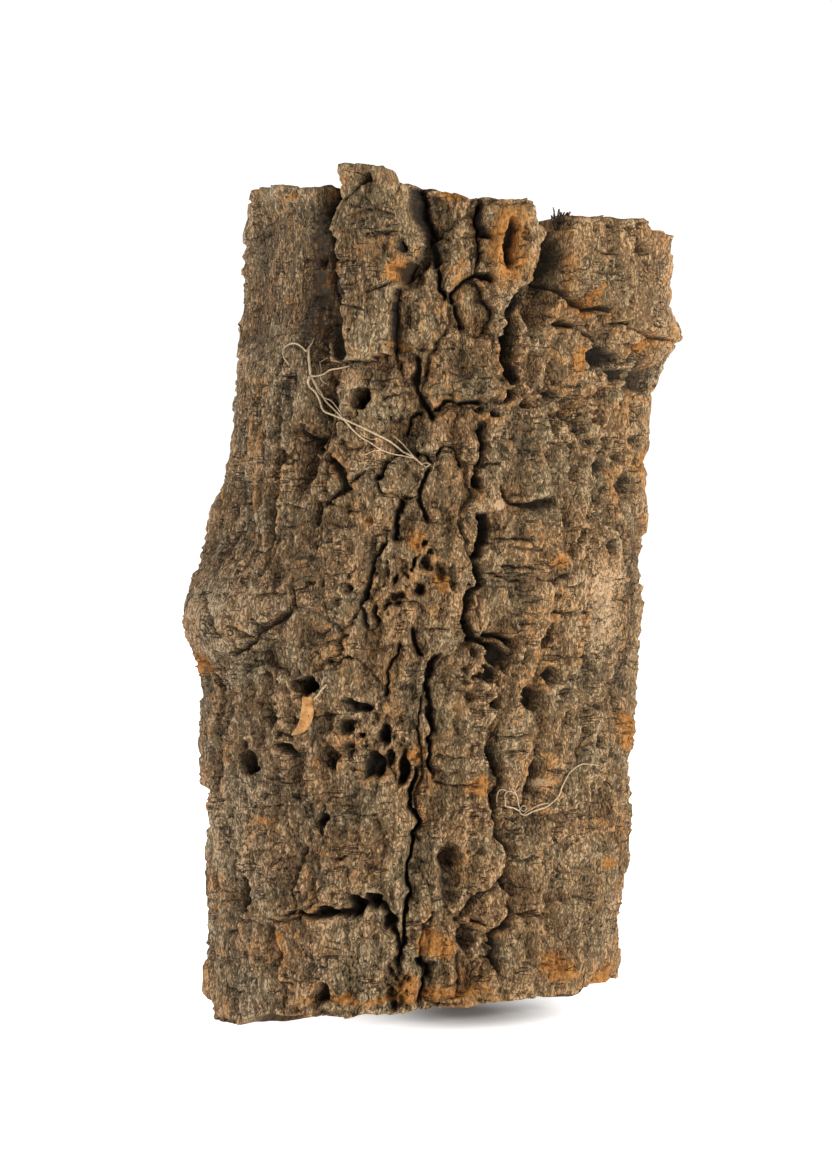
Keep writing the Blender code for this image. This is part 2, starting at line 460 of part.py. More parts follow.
class Unrolled:
    """Points of the bark laid out flat, in order of level. Marks are added to it one by one: rise is
    how far swells and sunken stretches move the wall, and depth is that of cracks and pits."""

    def __init__(self, girth, level):
        self.order = np.argsort(level)
        self.girth, self.level = girth[self.order], level[self.order]
        self.rise, self.depth = np.zeros((2, len(girth)))

    def near(self, girth, level, reach, reach_up=None):
        """The points within reach of a place, and how far each lies round the girth from it."""
        reach_up = reach if reach_up is None else reach_up
        low, high = np.searchsorted(self.level, (level - reach_up, level + reach_up))
        aside = wrapped(self.girth[low:high] - girth)
        close = np.flatnonzero(np.abs(aside) < reach)
        return close + low, aside[close]

    def deepen(self, points, depth):
        self.depth[points] = np.maximum(self.depth[points], depth)

    def swell(self, girth, level, half_width, half_height, proud):
        out = np.hypot(wrapped(self.girth - girth) / half_width, (self.level - level) / half_height)
        self.rise += proud * np.exp(-1.2 * out ** 2)

    def sink(self, girth, level, half_width, half_height, deep, sunk):
        points, aside = self.near(girth, level, half_width, half_height)
        inside = 1 - np.hypot(aside / half_width, (self.level[points] - level) / half_height)
        sunk[points] = np.maximum(sunk[points], deep * smooth_step(0, 0.5, inside))

    def pit(self, girth, level, half_width, half_height, deep):
        points, aside = self.near(girth, level, 1.3 * half_width, 1.3 * half_height)
        out = np.hypot(aside / half_width, (self.level[points] - level) / half_height)
        self.deepen(points, deep * (1 - smooth_step(0.55, 1.25, out)))

    def fissure(self, half_width, deep, line):
        """A slit with rounded shoulders along a line, which tapers off at both ends."""
        middle, size = (line.min(0) + line.max(0)) / 2, np.ptp(line, axis=0) / 2 + 8 * half_width
        points, aside = self.near(*middle, *size)
        gap, along = line_distance(aside + middle[0], self.level[points], line)
        taper = smooth_step(0, 0.12, np.minimum(along, 1 - along) + 0.04)
        slit = 1 - smooth_step(0.15 * half_width, 1.1 * half_width, gap)
        shoulder = np.exp(-((gap / (3.2 * half_width)) ** 2))
        self.deepen(points, deep * taper * (0.76 * slit + 0.24 * shoulder))

    def ridge(self, half_width, proud, line):
        """A sharp crest along a line, which tapers off at both ends."""
        middle, size = (line.min(0) + line.max(0)) / 2, np.ptp(line, axis=0) / 2 + 5 * half_width
        points, aside = self.near(*middle, *size)
        gap, along = line_distance(aside + middle[0], self.level[points], line)
        taper = smooth_step(0, 0.2, np.minimum(along, 1 - along))
        self.rise[points] += proud * taper * np.exp(-gap / half_width)

    def in_first_order(self, values):
        back = np.empty(len(values))
        back[self.order] = values
        return back


def inside_oval(flat, oval, edge):
    """The points in a drawn oval, and how far inside it each is: 0 at its edge, and 1 once it is
    that share of the oval's half size further in."""
    g, z, half_g, half_z = unrolled_oval(*oval)
    points, aside = flat.near(g, z, half_g, half_z)
    out = np.hypot(aside / half_g, (flat.level[points] - z) / half_z)
    return points, np.clip((1 - out) / edge, 0, 1)


def patches(flat, ovals, edge=1.0):
    """How far inside the nearest of some drawn ovals each point is."""
    inside = np.zeros(len(flat.girth))
    for oval in ovals:
        points, depth = inside_oval(flat, oval, edge)
        inside[points] = np.maximum(inside[points], depth)
    return inside


def outer_relief(angle, height):
    """How far the bark's surface stands out from the smooth form, in millimetres."""
    x, y = form(angle, height)
    points = np.stack([x, y, height], 1)
    girth = girth_of(angle) + 3.2 * noise_at(points, 21, 1) + 1.1 * noise_at(points, 7, 2)
    level = height + 3.6 * noise_at(points, 23, 3) + 1.1 * noise_at(points, 7, 4)
    flat = Unrolled(girth, level)
    sunk = np.zeros(len(girth))
    for *oval, proud in SWELLS:
        flat.swell(*unrolled_oval(*oval), proud)
    for *oval, deep in SUNKEN:
        flat.sink(*unrolled_oval(*oval), deep, sunk)
    for half_width, deep, line in FISSURES:
        flat.fissure(half_width, deep, np.array([unrolled(*point) for point in line]))
    for half_width, proud, line in RIDGES:
        flat.ridge(half_width, proud, np.array([unrolled(*point) for point in line]))
    for pit in all_pits():
        flat.pit(*pit)
    rise, crack = plate_relief(flat.girth, flat.level)
    rilled, calm = patches(flat, RILLED, 0.45), patches(flat, CALM, 0.3)
    whole = noise_at(points[flat.order], 30, 16, squash=0.7, octaves=2)
    crack *= (1 - 0.9 * np.maximum(0.7 * rilled, calm)) * (0.2 + 0.8 * smooth_step(-0.2, 0.35, whole))
    relief = flat.in_first_order(flat.rise + rise * (1 - 0.5 * rilled) - crack - sunk - flat.depth)
    rilled, calm = flat.in_first_order(rilled), flat.in_first_order(calm)
    relief += 3.0 * noise_at(points, 60, 6, squash=0.5, octaves=2)
    relief += (1 - 0.7 * calm) * 2.2 * noise_at(points, 16, 7, squash=0.5)
    relief += (1 - 0.9 * calm) * FOLDS * (0.35 - np.abs(noise_at(points, 24, 8, squash=0.24, octaves=2)))
    relief += rilled * RILLS * (0.3 - np.abs(noise_at(points, 11, 15, squash=0.2, octaves=2)))
    return relief


def inner_relief(angle, height):
    """The hollow's face waves gently, in long ridges up the branch."""
    x, y = form(angle, height)
    points = np.stack([x, y, height], 1)
    waves = noise_at(points, 34, 9, squash=0.3) + 0.4 * noise_at(points, 9, 10, squash=0.4)
    return HOLLOW_ROUGHNESS * waves


def edge_heights(angle, wall):
    """Height of the lower and the upper rim at each angle, and each share of the way through the
    wall. Both are roughest outside. The lower one is broken away there, above the floor, and at the
    front right it is clear of the floor from the outer face to the hollow."""
    front = sorted((float(girth_of(a)), float(z)) for a, z in (place_seen(*p) for p in TOP_EDGE))
    half_round = WHOLE_GIRTH / 2
    girths = [-half_round, front[0][0] - 25, *[g for g, _ in front], front[-1][0] + 25, half_round]
    tops = [BACK_EDGE, BACK_EDGE + 3, *[z for _, z in front], BACK_EDGE - 4, BACK_EDGE]
    x, y = form(angle, np.full(len(angle), float(BACK_EDGE)), WALL * wall)
    points = np.stack([x, y, np.full(len(angle), float(BACK_EDGE))], 1)
    outside = 1 - smooth_step(0.35, 0.8, wall)
    outer_edge = np.interp(girth_of(angle), girths, tops)
    inner_edge = np.minimum(BACK_EDGE, outer_edge - 2)
    high = inner_edge + (outer_edge - inner_edge) * outside
    high += (0.5 + 0.5 * outside) * (1.5 * noise_at(points, 13, 12) + 0.8 * noise_at(points, 4, 13))
    lift = smooth_curve(np.degrees(angle), *zip(*BASE_LIFT)) + 1.2 * noise_at(points, 9, 14)
    lifted = np.maximum(1 - smooth_step(*LIFTED_SHARES_OF_WALL, wall),
                        np.interp(np.degrees(angle), *zip(*WHOLLY_LIFTED)))
    low = -SAW_STOCK + np.maximum(lift, 0) * lifted
    return low, high


def carved(spun):
    """The place, in metres, of each point of the spun ring. Its radius from 2 to 1 says how far it
    lies through the wall, from the outer face to the inner, and its height from 0 to 1 how far up."""
    angle = np.arctan2(spun[:, 0], -spun[:, 1])
    wall = np.clip(2 - np.hypot(spun[:, 0], spun[:, 1]), 0, 1)
    low, high = edge_heights(angle, wall)
    height = low + (high - low) * spun[:, 2]
    outer_x, outer_y = form(angle, height, -outer_relief(angle, height))
    inner_x, inner_y = form(angle, height, WALL + inner_relief(angle, height))
    x = outer_x + (inner_x - outer_x) * wall + TUBE_OFF_ORIGIN[0]
    y = outer_y + (inner_y - outer_y) * wall + TUBE_OFF_ORIGIN[1]
    return np.stack([x, y, height], 1) * MM


def spun_ring(columns, outer_rows, rim_rows, inner_rows):
    """The wall's outline at radius 2 to 1, turned into a closed ring."""
    bm = bmesh.new()
    outline = [(2, t) for t in np.linspace(0, 1, outer_rows + 1)]
    outline += [(2 - w, 1) for w in np.linspace(0, 1, rim_rows + 1)[1:]]
    outline += [(1, t) for t in np.linspace(1, 0, inner_rows + 1)[1:]]
    outline += [(2 - w, 0) for w in np.linspace(1, 0, rim_rows + 1)[1:-1]]
    points = [bm.verts.new((0, -radius, height)) for radius, height in outline]
    edges = [bm.edges.new((points[k - 1], points[k])) for k in range(len(points))]
    bmesh.ops.spin(bm, geom=points + edges, cent=(0, 0, 0), axis=(0, 0, 1), dvec=(0, 0, 0),
                   angle=2 * math.pi, steps=columns, use_merge=True)
    bmesh.ops.remove_doubles(bm, verts=bm.verts, dist=1e-5)
    return bm


def vertex_places(mesh):
    places = np.empty(len(mesh.vertices) * 3, np.float32)
    mesh.vertices.foreach_get("co", places)
    return places.reshape(-1, 3).astype(float)


def new_object(name, bm, material):
    """Puts a bmesh in the scene as an object of that name, with its faces pointing out."""
    bm.normal_update()
    bmesh.ops.recalc_face_normals(bm, faces=bm.faces)
    mesh = bpy.data.meshes.new(name)
    bm.to_mesh(mesh)
    bm.free()
    if material is not None:
        mesh.materials.append(material)
    obj = bpy.data.objects.new(name, mesh)
    bpy.context.scene.collection.objects.link(obj)
    return obj


def new_material(name, colour, roughness):
    material = bpy.data.materials.new(name)
    material.use_nodes = True
    shader = material.node_tree.nodes["Principled BSDF"]
    shader.inputs["Base Color"].default_value = (*colour, 1)
    shader.inputs["Roughness"].default_value = roughness
    shader.inputs["Metallic"].default_value = 0
    return material


def cutter(name, bm):
    obj = new_object(name, bm, None)
    obj.hide_render = True
    obj.display_type = "WIRE"
    return obj


def saw_block():
    """All that lies below the floor, where the saw went through."""
    bm = bmesh.new()
    bmesh.ops.create_cube(bm, size=0.5)
    bmesh.ops.translate(bm, verts=bm.verts, vec=(0, 0, -0.25))
    return cutter("saw_cut", bm)


def hole_cutter(name, across, up, half_width, half_height):
    """A rough tapering plug through the wall, wider at the outer face than at the inner."""
    angle, height = place_seen(across, up)
    (outer_x, outer_y), (inner_x, inner_y) = form(angle, height, -16), form(angle, height, WALL + 12)
    outer = (Vector((outer_x, outer_y, height + 2)) + Vector((*TUBE_OFF_ORIGIN, 0))) * MM
    inner = (Vector((inner_x, inner_y, height - 2)) + Vector((*TUBE_OFF_ORIGIN, 0))) * MM
    bm = bmesh.new()
    bmesh.ops.create_cone(bm, cap_ends=True, segments=9, radius1=0.8, radius2=1.1,
                          depth=(outer - inner).length)
    places = np.array([v.co for v in bm.verts]) * (1.4, 1.4, 220) + (across, up, 0)
    for vertex, swell in zip(bm.verts, noise_at(places, 1.0, 31, octaves=1)):
        wobble = 1 + 0.25 * swell
        vertex.co.x *= half_width * MM * wobble
        vertex.co.y *= half_height * MM * wobble
    # Local X goes round the girth, local Y up the tube and local Z out of the wall.
    out = (outer - inner).normalized()
    side = Vector((0, 0, 1)).cross(out).normalized()
    turn = np.array([side, out.cross(side), out]).T
    middle = (outer + inner) / 2
    for vertex in bm.verts:
        vertex.co = middle + Vector(turn @ np.array(vertex.co))
    return cutter(name, bm)


def cork_tube(material):
    """The bark: a ring carved at full detail, thinned out, drilled and sawn flat."""
    bm = spun_ring(COLUMNS, OUTER_ROWS, RIM_ROWS, INNER_ROWS)
    tube = new_object("cork_tube", bm, material)
    tube.data.vertices.foreach_set("co", carved(vertex_places(tube.data)).astype(np.float32).ravel())
    tube.data.update()
    thin = tube.modifiers.new("Thin out", "DECIMATE")
    thin.ratio = BARK_FACES_KEPT
    cutters = [saw_block()]
    cutters += [hole_cutter(f"hole_{k + 1}", *hole) for k, hole in enumerate(THROUGH_HOLES)]
    for obj in cutters:
        cut = tube.modifiers.new(obj.name, "BOOLEAN")
        cut.operation = "DIFFERENCE"
        cut.object = obj
    return tube


def surface_of(obj):
    """The finished surface of an object, to find places on it."""
    evaluated = obj.evaluated_get(bpy.context.evaluated_depsgraph_get())
    mesh = bpy.data.meshes.new_from_object(evaluated)
    corners = [vertex.co for vertex in mesh.vertices]
    tree = BVHTree.FromPolygons(corners, [tuple(face.vertices) for face in mesh.polygons])
    bpy.data.meshes.remove(mesh)
    return tree


FINE = 4                    # places tried along each step of a line, where it is laid on the bark
EYE = Vector((TUBE_OFF_ORIGIN[0], TUBE_OFF_ORIGIN[1] - EYE_DISTANCE, EYE_HEIGHT)) * MM


def sight_line(across, up):
    """Direction from the eye to a point of the elevation."""
    drawn = Vector((TUBE_OFF_ORIGIN[0] + across, TUBE_OFF_ORIGIN[1], up)) * MM
    return (drawn - EYE).normalized()


def evenly_spaced(points, step):
    """Points of a smooth curve through the given ones. Every FINE of them make about a step."""
    points = np.asarray(points, float)
    lengths = np.concatenate([[0], np.cumsum(np.hypot(*np.diff(points, axis=0).T))])
    at = np.linspace(0, lengths[-1], FINE * max(2, round(lengths[-1] / step)) + 1)
    return np.stack([smooth_curve(at, lengths, axis) for axis in points.T], 1)


def laid_on(surface, line, clearance, half_width=0.0):
    """Points in space of a line drawn on the elevation, lifted clear of the surface under it and
    to that far at both sides of it. It runs straight across cracks, as a stiff strand does."""
    ways = [sight_line(*point) for point in line]
    far = EYE_DISTANCE * MM

    def depth_seen(across, up):
        return surface.ray_cast(EYE, sight_line(across, up))[3] or far

    offsets = np.linspace(-half_width, half_width, 5 if half_width else 1)
    depths = np.array([min(depth_seen(a + offset, up) for offset in offsets) for a, up in line])
    padded = np.pad(depths, FINE, mode="edge")
    limit = np.min([padded[k:k + len(depths)] for k in range(2 * FINE + 1)], axis=0) - clearance * MM
    laid = limit.copy()
    for _ in range(30 * FINE):
        laid[1:-1] = np.minimum(limit[1:-1], (laid[:-2] + laid[2:]) / 2)
    # A strand also keeps clear of what stands beside it.
    places = []
    for way, depth in zip(ways[::FINE], laid[::FINE]):
        place = EYE + way * depth
        for _ in range(6):
            nearest, _, _, gap = surface.find_nearest(place)
            if gap >= clearance * MM:
                break
            place -= way * (clearance * MM - gap + 0.1 * MM)
        places.append(place)
    return places


def swept(places, half_sizes, sides):
    """A closed solid with a ring of sides at every place, its half width and half depth given there.
    The rings keep facing the eye, and the first and last are closed."""
    bm = bmesh.new()
    ring = None
    for k, (place, (half_width, half_depth)) in enumerate(zip(places, half_sizes)):
        along = (places[min(k + 1, len(places) - 1)] - places[max(k - 1, 0)]).normalized()
        side = along.cross(Vector((0, 1, 0))).normalized()
        depth = side.cross(along)
        turns = [2 * math.pi * (j + 0.5) / sides for j in range(sides)]
        verts = [
            bm.verts.new(place + side * math.cos(t) * half_width + depth * math.sin(t) * half_depth)
            for t in turns
        ]
        if ring is not None:
            for j in range(sides):
                bm.faces.new((ring[j - 1], ring[j], verts[j], verts[j - 1]))
        else:
            bm.faces.new(verts)
        ring = verts
    bm.faces.new(ring)
    return bm


def joined_to(earlier, places):
    """The places of a strand, with each end that is near an earlier strand moved into it."""
    for end in (0, -1):
        nearest = min(earlier, key=lambda place: (place - places[end]).length, default=None)
        if nearest is not None and (nearest - places[end]).length < ROOTLET_JOIN_REACH * MM:
            places[end] = nearest.copy()
    return places


def rootlets(name, lines, surface, material):
    """A dried rootlet and its branches, as one solid. A branch starts inside the strand it leaves."""
    clearance = ROOTLET_RADIUS + ROOTLET_CLEARANCE
    earlier = []
    for k, line in enumerate(lines):
        places = joined_to(earlier, laid_on(surface, evenly_spaced(line, ROOTLET_STEP), clearance))
        earlier += places
        radii = [(ROOTLET_RADIUS * MM * (1 - 0.12 * k),) * 2] * len(places)
        bm = swept(places, radii, ROOTLET_SIDES)
        if k == 0:
            root = new_object(name, bm, material)
            continue
        branch = cutter(f"{name}_branch_{k}", bm)
        join = root.modifiers.new(branch.name, "BOOLEAN")
        join.operation = "UNION"
        join.object = branch
    return root


def dry_leaf(surface, material):
    """A dead leaf that has curled along its length, hanging out of the hole that its stalk is in."""
    clearance = LEAF_THICKNESS + LEAF_CURL + LEAF_CLEARANCE
    line = evenly_spaced(LEAF_LINE, LEAF_STEP)
    places = laid_on(surface, line, clearance, max(LEAF_HALF_WIDTHS) + LEAF_CLEARANCE)
    at = np.linspace(0, 1, len(places))
    half_widths = np.interp(at, np.linspace(0, 1, len(LEAF_HALF_WIDTHS)), LEAF_HALF_WIDTHS)
    bm = bmesh.new()
    ring = None
    for k, (place, half) in enumerate(zip(places, half_widths)):
        along = (places[min(k + 1, len(places) - 1)] - places[max(k - 1, 0)]).normalized()
        side = along.cross(Vector((0, 1, 0))).normalized()
        back = Vector((0, 1, 0))
        front_row = [(t, LEAF_CURL * t * t) for t in (-1, -0.5, 0, 0.5, 1)]
        outline = front_row + [(t * 0.96, curl + LEAF_THICKNESS) for t, curl in reversed(front_row)]
        verts = [bm.verts.new(place + side * half * t * MM + back * curl * MM) for t, curl in outline]
        if ring is None:
            bm.faces.new(verts)
        else:
            for j in range(len(verts)):
                bm.faces.new((ring[j - 1], ring[j], verts[j], verts[j - 1]))
        ring = verts
    bm.faces.new(ring)
    return new_object("dry_leaf", bm, material)


def rim_tuft(surface, material):
    """A lumpy tuft of lichen that grips the upper rim."""
    bm = bmesh.new()
    bmesh.ops.create_icosphere(bm, subdivisions=2, radius=1)
    for vertex in bm.verts:
        narrow = 0.72 + 0.28 * vertex.co.z
        spikes = max(0.0, noise.noise(vertex.co * 2.6 + Vector((SEED, 0, 0)))) * max(0.0, vertex.co.z)
        vertex.co *= 0.82 + 0.25 * noise.noise(vertex.co * 1.7) + 1.1 * spikes
        vertex.co.x *= narrow * TUFT_SIZE[0] / 2 * MM
        vertex.co.y *= narrow * TUFT_SIZE[1] / 2 * MM
        vertex.co.z *= TUFT_SIZE[2] / 2 * MM
    _, front = form(place_seen(*TUFT_FOOT)[0], TUFT_FOOT[1])
    y = front + TUFT_BEHIND_EDGE
    x = TUFT_FOOT[0] * (EYE_DISTANCE + y) / EYE_DISTANCE
    foot = Vector((x + TUBE_OFF_ORIGIN[0], y + TUBE_OFF_ORIGIN[1], 0)) * MM
    # It is let down until some point of it almost touches the rim.
    drop = 1.0
    for vertex in bm.verts:
        start = foot + Vector((vertex.co.x, vertex.co.y, 0.6))
        hit = surface.ray_cast(start, Vector((0, 0, -1)))[0]
        if hit is not None:
            drop = min(drop, vertex.co.z + 0.6 - hit.z)
    lift = 0.6 - drop + TUFT_CLEARANCE * MM
    bmesh.ops.translate(bm, verts=bm.verts, vec=foot + Vector((0, 0, lift)))
    return new_object("rim_tuft", bm, material)


def main():
    for obj in list(bpy.data.objects):
        bpy.data.objects.remove(obj)
    bark = cork_tube(new_material("cork bark", (0.21, 0.14, 0.085), 0.95))
    surface = surface_of(bark)
    rootlet_material = new_material("dried rootlet", (0.52, 0.40, 0.26), 0.8)
    rootlets("upper_rootlets", UPPER_ROOTLETS, surface, rootlet_material)
    rootlets("lower_rootlets", LOWER_ROOTLETS, surface, rootlet_material.copy())
    dry_leaf(surface, new_material("dry leaf", (0.54, 0.31, 0.13), 0.7))
    rim_tuft(surface, new_material("dark lichen", (0.05, 0.04, 0.03), 0.95))


main()
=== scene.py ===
# %% [markdown]
# # A cork branch
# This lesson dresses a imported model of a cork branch: the bark of a cork oak limb, left as a hollow
# tube and sawn at both ends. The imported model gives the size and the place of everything. Here we
# make its surface again with far finer relief, and give it the colours of old cork.

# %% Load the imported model
import math
from collections import namedtuple
from functools import partial, reduce
from itertools import product

import bmesh
import bpy
import numpy as np
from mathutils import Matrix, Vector
from mathutils.bvhtree import BVHTree


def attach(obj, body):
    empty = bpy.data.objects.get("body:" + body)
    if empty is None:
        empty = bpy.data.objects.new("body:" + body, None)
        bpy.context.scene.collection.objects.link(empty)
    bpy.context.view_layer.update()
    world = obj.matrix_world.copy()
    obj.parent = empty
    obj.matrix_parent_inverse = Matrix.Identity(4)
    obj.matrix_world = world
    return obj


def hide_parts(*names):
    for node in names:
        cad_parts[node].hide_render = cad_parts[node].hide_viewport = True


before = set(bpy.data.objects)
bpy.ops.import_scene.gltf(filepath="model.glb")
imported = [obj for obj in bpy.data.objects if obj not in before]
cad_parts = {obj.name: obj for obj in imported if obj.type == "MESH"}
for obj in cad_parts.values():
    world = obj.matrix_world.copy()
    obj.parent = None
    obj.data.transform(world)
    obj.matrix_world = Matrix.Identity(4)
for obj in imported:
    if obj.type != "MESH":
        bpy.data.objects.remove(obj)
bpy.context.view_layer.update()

# %% [markdown]
# ## Noise
# Bark has lumps at every size, from a hand's width down to a grain. Gradient noise gives them: a
# random slope sits at each corner of a lattice of cubes, and the slopes are blended in between.
# Sums of it at halving sizes make a fractal. Blender's own noise takes one point at a time, so this
# one is written for whole arrays, because the bark has more than half a million points.

# %% Noise for arrays of points
MM = 0.001
dice = np.random.default_rng(5)
SHUFFLE = np.resize(dice.permutation(256), 512)
SLOPES = dice.normal(size=(256, 3))
SLOPES /= np.linalg.norm(SLOPES, axis=1, keepdims=True)


def lattice_noise(points):
    """Gradient noise at each point, about -1 to 1, on a lattice of unit cubes."""
    cell = np.floor(points)
    inside = (points - cell).astype(np.float32)
    cell = cell.astype(np.int64) & 255
    fade = inside ** 3 * (inside * (inside * 6 - 15) + 10)
    total = np.zeros(len(points), np.float32)
    for corner in product((0, 1), repeat=3):
        x, y, z = (cell + corner).T
        pick = SHUFFLE[SHUFFLE[SHUFFLE[x] + y] + z]
        share = np.prod(np.where(corner, fade, 1 - fade), axis=1)
        total += share * np.einsum("ij,ij->i", SLOPES[pick], inside - corner)
    return 1.6 * total


def noise_at(points, size, seed, squash=1.0, octaves=3):
    """Fractal noise with lumps of that size in millimetres. A small squash draws them out upwards."""
    scaled = points * np.array([1, 1, squash]) / size + seed * 7.31
    return sum(lattice_noise(scaled * 2 ** k + 3.7 * k) / 2 ** k for k in range(octaves))


print("noise at three points:", noise_at(np.eye(3) * 10, 7, 1).round(2))

# %% [markdown]
# ## The smooth form
# Under its relief the branch is a leaning tube with a rounded, lopsided section. It could be a
# lofted surface between drawn rings. Two short lists do the same here: the radius of the section
# every 30 degrees, and how the tube leans and widens on its way up. Both are read through a smooth
# curve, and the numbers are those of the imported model, in millimetres.

# %% The branch's driving sizes
WALL = 33
HOLLOW_ROUGHNESS = 2.2
SAW_STOCK = 4
TUBE_OFF_ORIGIN = (-10.1, -9.9)
SECTION_RADII = (71, 69, 79, 99, 118, 111, 103, 110, 111, 101, 100, 90)
LEAN = ((0, -3), (120, -1), (200, 0), (300, 9), (420, 23))
GIRTH_SCALE = ((0, 0.94), (90, 0.96), (200, 1.03), (300, 0.97), (420, 0.97))
FULL_TURN = 2 * math.pi


def smooth_curve(at, knots, values):
    """A curve through the values at the knots, with no corners. It is flat past both ends."""
    knots, values = np.asarray(knots, float), np.asarray(values, float)
    slopes = np.gradient(values, knots)
    at = np.clip(at, knots[0], knots[-1])
    cell = np.clip(np.searchsorted(knots, at) - 1, 0, len(knots) - 2)
    span = knots[cell + 1] - knots[cell]
    t = (at - knots[cell]) / span
    start = values[cell] * (1 + 2 * t) * (1 - t) ** 2 + values[cell + 1] * t * t * (3 - 2 * t)
    return start + span * (slopes[cell] * t * (1 - t) ** 2 - slopes[cell + 1] * t * t * (1 - t))


def smooth_step(low, high, at):
    """0 below low, 1 above high, and a smooth rise between them."""
    t = np.clip((at - low) / (high - low), 0, 1)
    return t * t * (3 - 2 * t)


def section_radius(angle):
    """Radius of the section's smooth form at an angle from its front centre line."""
    count = len(SECTION_RADII)
    knots = math.radians(360 / count) * np.arange(-count, 2 * count + 1)
    return smooth_curve(np.asarray(angle) % FULL_TURN, knots, np.resize(SECTION_RADII, len(knots)))


def form_radius(angle, height):
    return section_radius(angle) * smooth_curve(height, *zip(*GIRTH_SCALE))


def form(angle, height, inward=0.0):
    """x and y of the smooth form at an angle and a height, moved inward by a depth."""
    radius = form_radius(angle, height) - inward
    return radius * np.sin(angle) + smooth_curve(height, *zip(*LEAN)), -radius * np.cos(angle)


print("half way up, the front is at", np.round(form(0.0, 200.0)))

# %% [markdown]
# ## Drawing on bark
# The plates and cracks of the front are drawn on a front elevation, as (across, up) in millimetres:
# to the right of the tube's axis, and above the floor. The bark curves away from that drawing, so
# each mark is carried along the line of sight onto the form, and from there to the unrolled bark,
# where the distance round the girth is the first coordinate and the height is the second.

# %% From the elevation to the unrolled bark
EYE_DISTANCE = 1200
EYE_HEIGHT = 235
ROUND = np.linspace(-math.pi, math.pi, 721)
ring_radius = section_radius(ROUND)
ring_steps = np.hypot(np.diff(ring_radius * np.sin(ROUND)), np.diff(ring_radius * np.cos(ROUND)))
GIRTH_AT = np.concatenate([[0], np.cumsum(ring_steps)])
GIRTH_AT -= GIRTH_AT[len(GIRTH_AT) // 2]
WHOLE_GIRTH = GIRTH_AT[-1] - GIRTH_AT[0]


def girth_of(angle):
    return np.interp(angle, ROUND, GIRTH_AT)


def wrapped(girth):
    """The short way round the branch between two places on its girth."""
    return (girth + WHOLE_GIRTH / 2) % WHOLE_GIRTH - WHOLE_GIRTH / 2


def place_seen(across, up):
    """Angle and height of the smooth form's point that the eye sees at a point of the elevation."""
    angles = np.radians(np.arange(-120, 131))
    height = up
    for _ in range(4):
        x, y = form(angles, height)
        seen = x * EYE_DISTANCE / (EYE_DISTANCE + y)
        first, last = np.argmin(seen), np.argmax(seen) + 1
        angle = np.interp(across, seen[first:last], angles[first:last])
        depth = np.interp(angle, angles, y)
        height = EYE_HEIGHT + (up - EYE_HEIGHT) * (EYE_DISTANCE + depth) / EYE_DISTANCE
    return angle, height


def unrolled(across, up):
    angle, height = place_seen(across, up)
    return np.array([girth_of(angle), height])


def unrolled_oval(across, up, half_width, half_height):
    """Centre and half sizes, on the unrolled bark, of an oval that is drawn on the elevation."""
    left, right = unrolled(across - half_width, up), unrolled(across + half_width, up)
    low, high = unrolled(across, up - half_height), unrolled(across, up + half_height)
    return (left[0] + right[0]) / 2, (low[1] + high[1]) / 2, (right[0] - left[0]) / 2, (high[1] - low[1]) / 2


print("the girth is", round(WHOLE_GIRTH), "mm")

# %% [markdown]
# ## Plates
# Old cork splits into plates as the limb inside it grows. Each plate here is a place, its half sizes
# and how far it stands out. Every point of the bark belongs to the plate it is nearest to, counted
# in that plate's own half sizes, so the plates fill the bark with no gaps, and a crack runs where
# two of them are equally near. The front's plates are drawn one by one. The rest are laid like rough
# brickwork, with a fixed seed.

# %% The drawn plates: (across, up, half width, half height, rise)
PLATES = (
    (-15.5, 398, 15.5, 78, 12), (-22, 306, 21, 15, 2.8), (23, 375, 12, 14, 3.5), (41, 372, 11, 28, 9),
    (28, 348, 9, 12, 2.1), (72, 336, 15, 30, 1.4), (94, 367, 18, 24, 4.9), (121, 352, 13, 33, 4.9),
    (21, 315, 22, 16, 5.6),
    (20, 286, 16, 13, 3.5), (-6, 256, 12, 12, 4.2), (12, 259, 9, 16, 2.8), (-36, 280, 17, 21, 3.5),
    (50, 279, 20, 21, 4.9), (52, 230, 23, 22, 4.9), (-23, 249, 12, 14, 2.8), (-92, 212, 22, 33, 2.8),
    (-58, 210, 17, 30, 2.1), (-36, 217, 12, 20, 2.1), (-62, 300, 15, 26, 0.7), (-84, 290, 12, 38, -1),
    (-64, 254, 15, 18, 1.4), (-82, 250, 9, 17, 0), (-60, 366, 27, 50, 0.7), (106, 214, 8, 44, 0),
    (0, 330, 10, 40, 1.4), (70, 300, 9, 12, 0.7),
    (2, 200, 26, 32, 4.9), (57, 192, 25, 21, 4.9), (87, 192, 14, 30, 4.2), (91, 290, 12, 26, 2.1),
    (21, 149, 14, 32, 4.9), (19, 91, 18, 26, 4.2), (33, 60, 11, 20, 3.5), (-73, 141, 16, 17, 4.2),
    (-33, 143, 15, 20, 3.5), (-25, 87, 24, 38, 4.9), (-65, 77, 17, 29, 3.5), (-38, 17, 28, 25, 5.6),
    (-81, 16, 17, 26, 4.9), (50, 140, 13, 27, 3.5), (72, 72, 26, 21, 3.5), (64, 29, 17, 24, 4.9),
    (88, 33, 11, 30, 2.1), (19, 20, 12, 19, 2.8), (-10, 9, 9, 13, 3.5), (-9, 132, 8, 22, 2.8),
)
BRICK_WIDTH = 34
BRICK_HEIGHT = 52
BRICK_JITTER = 11
BRICK_RISES = (0, 7)
BRICK_SCALES = (0.75, 1.2)
CLEAR_OF_DRAWN = 1.45
PLATE_DOME = 0.5
FOLDS = 7.0
RILLS = 9.0
RILLED = ((-66, 262, 36, 66), (98, 285, 20, 56), (-101, 90, 12, 80), (100, 110, 16, 60))
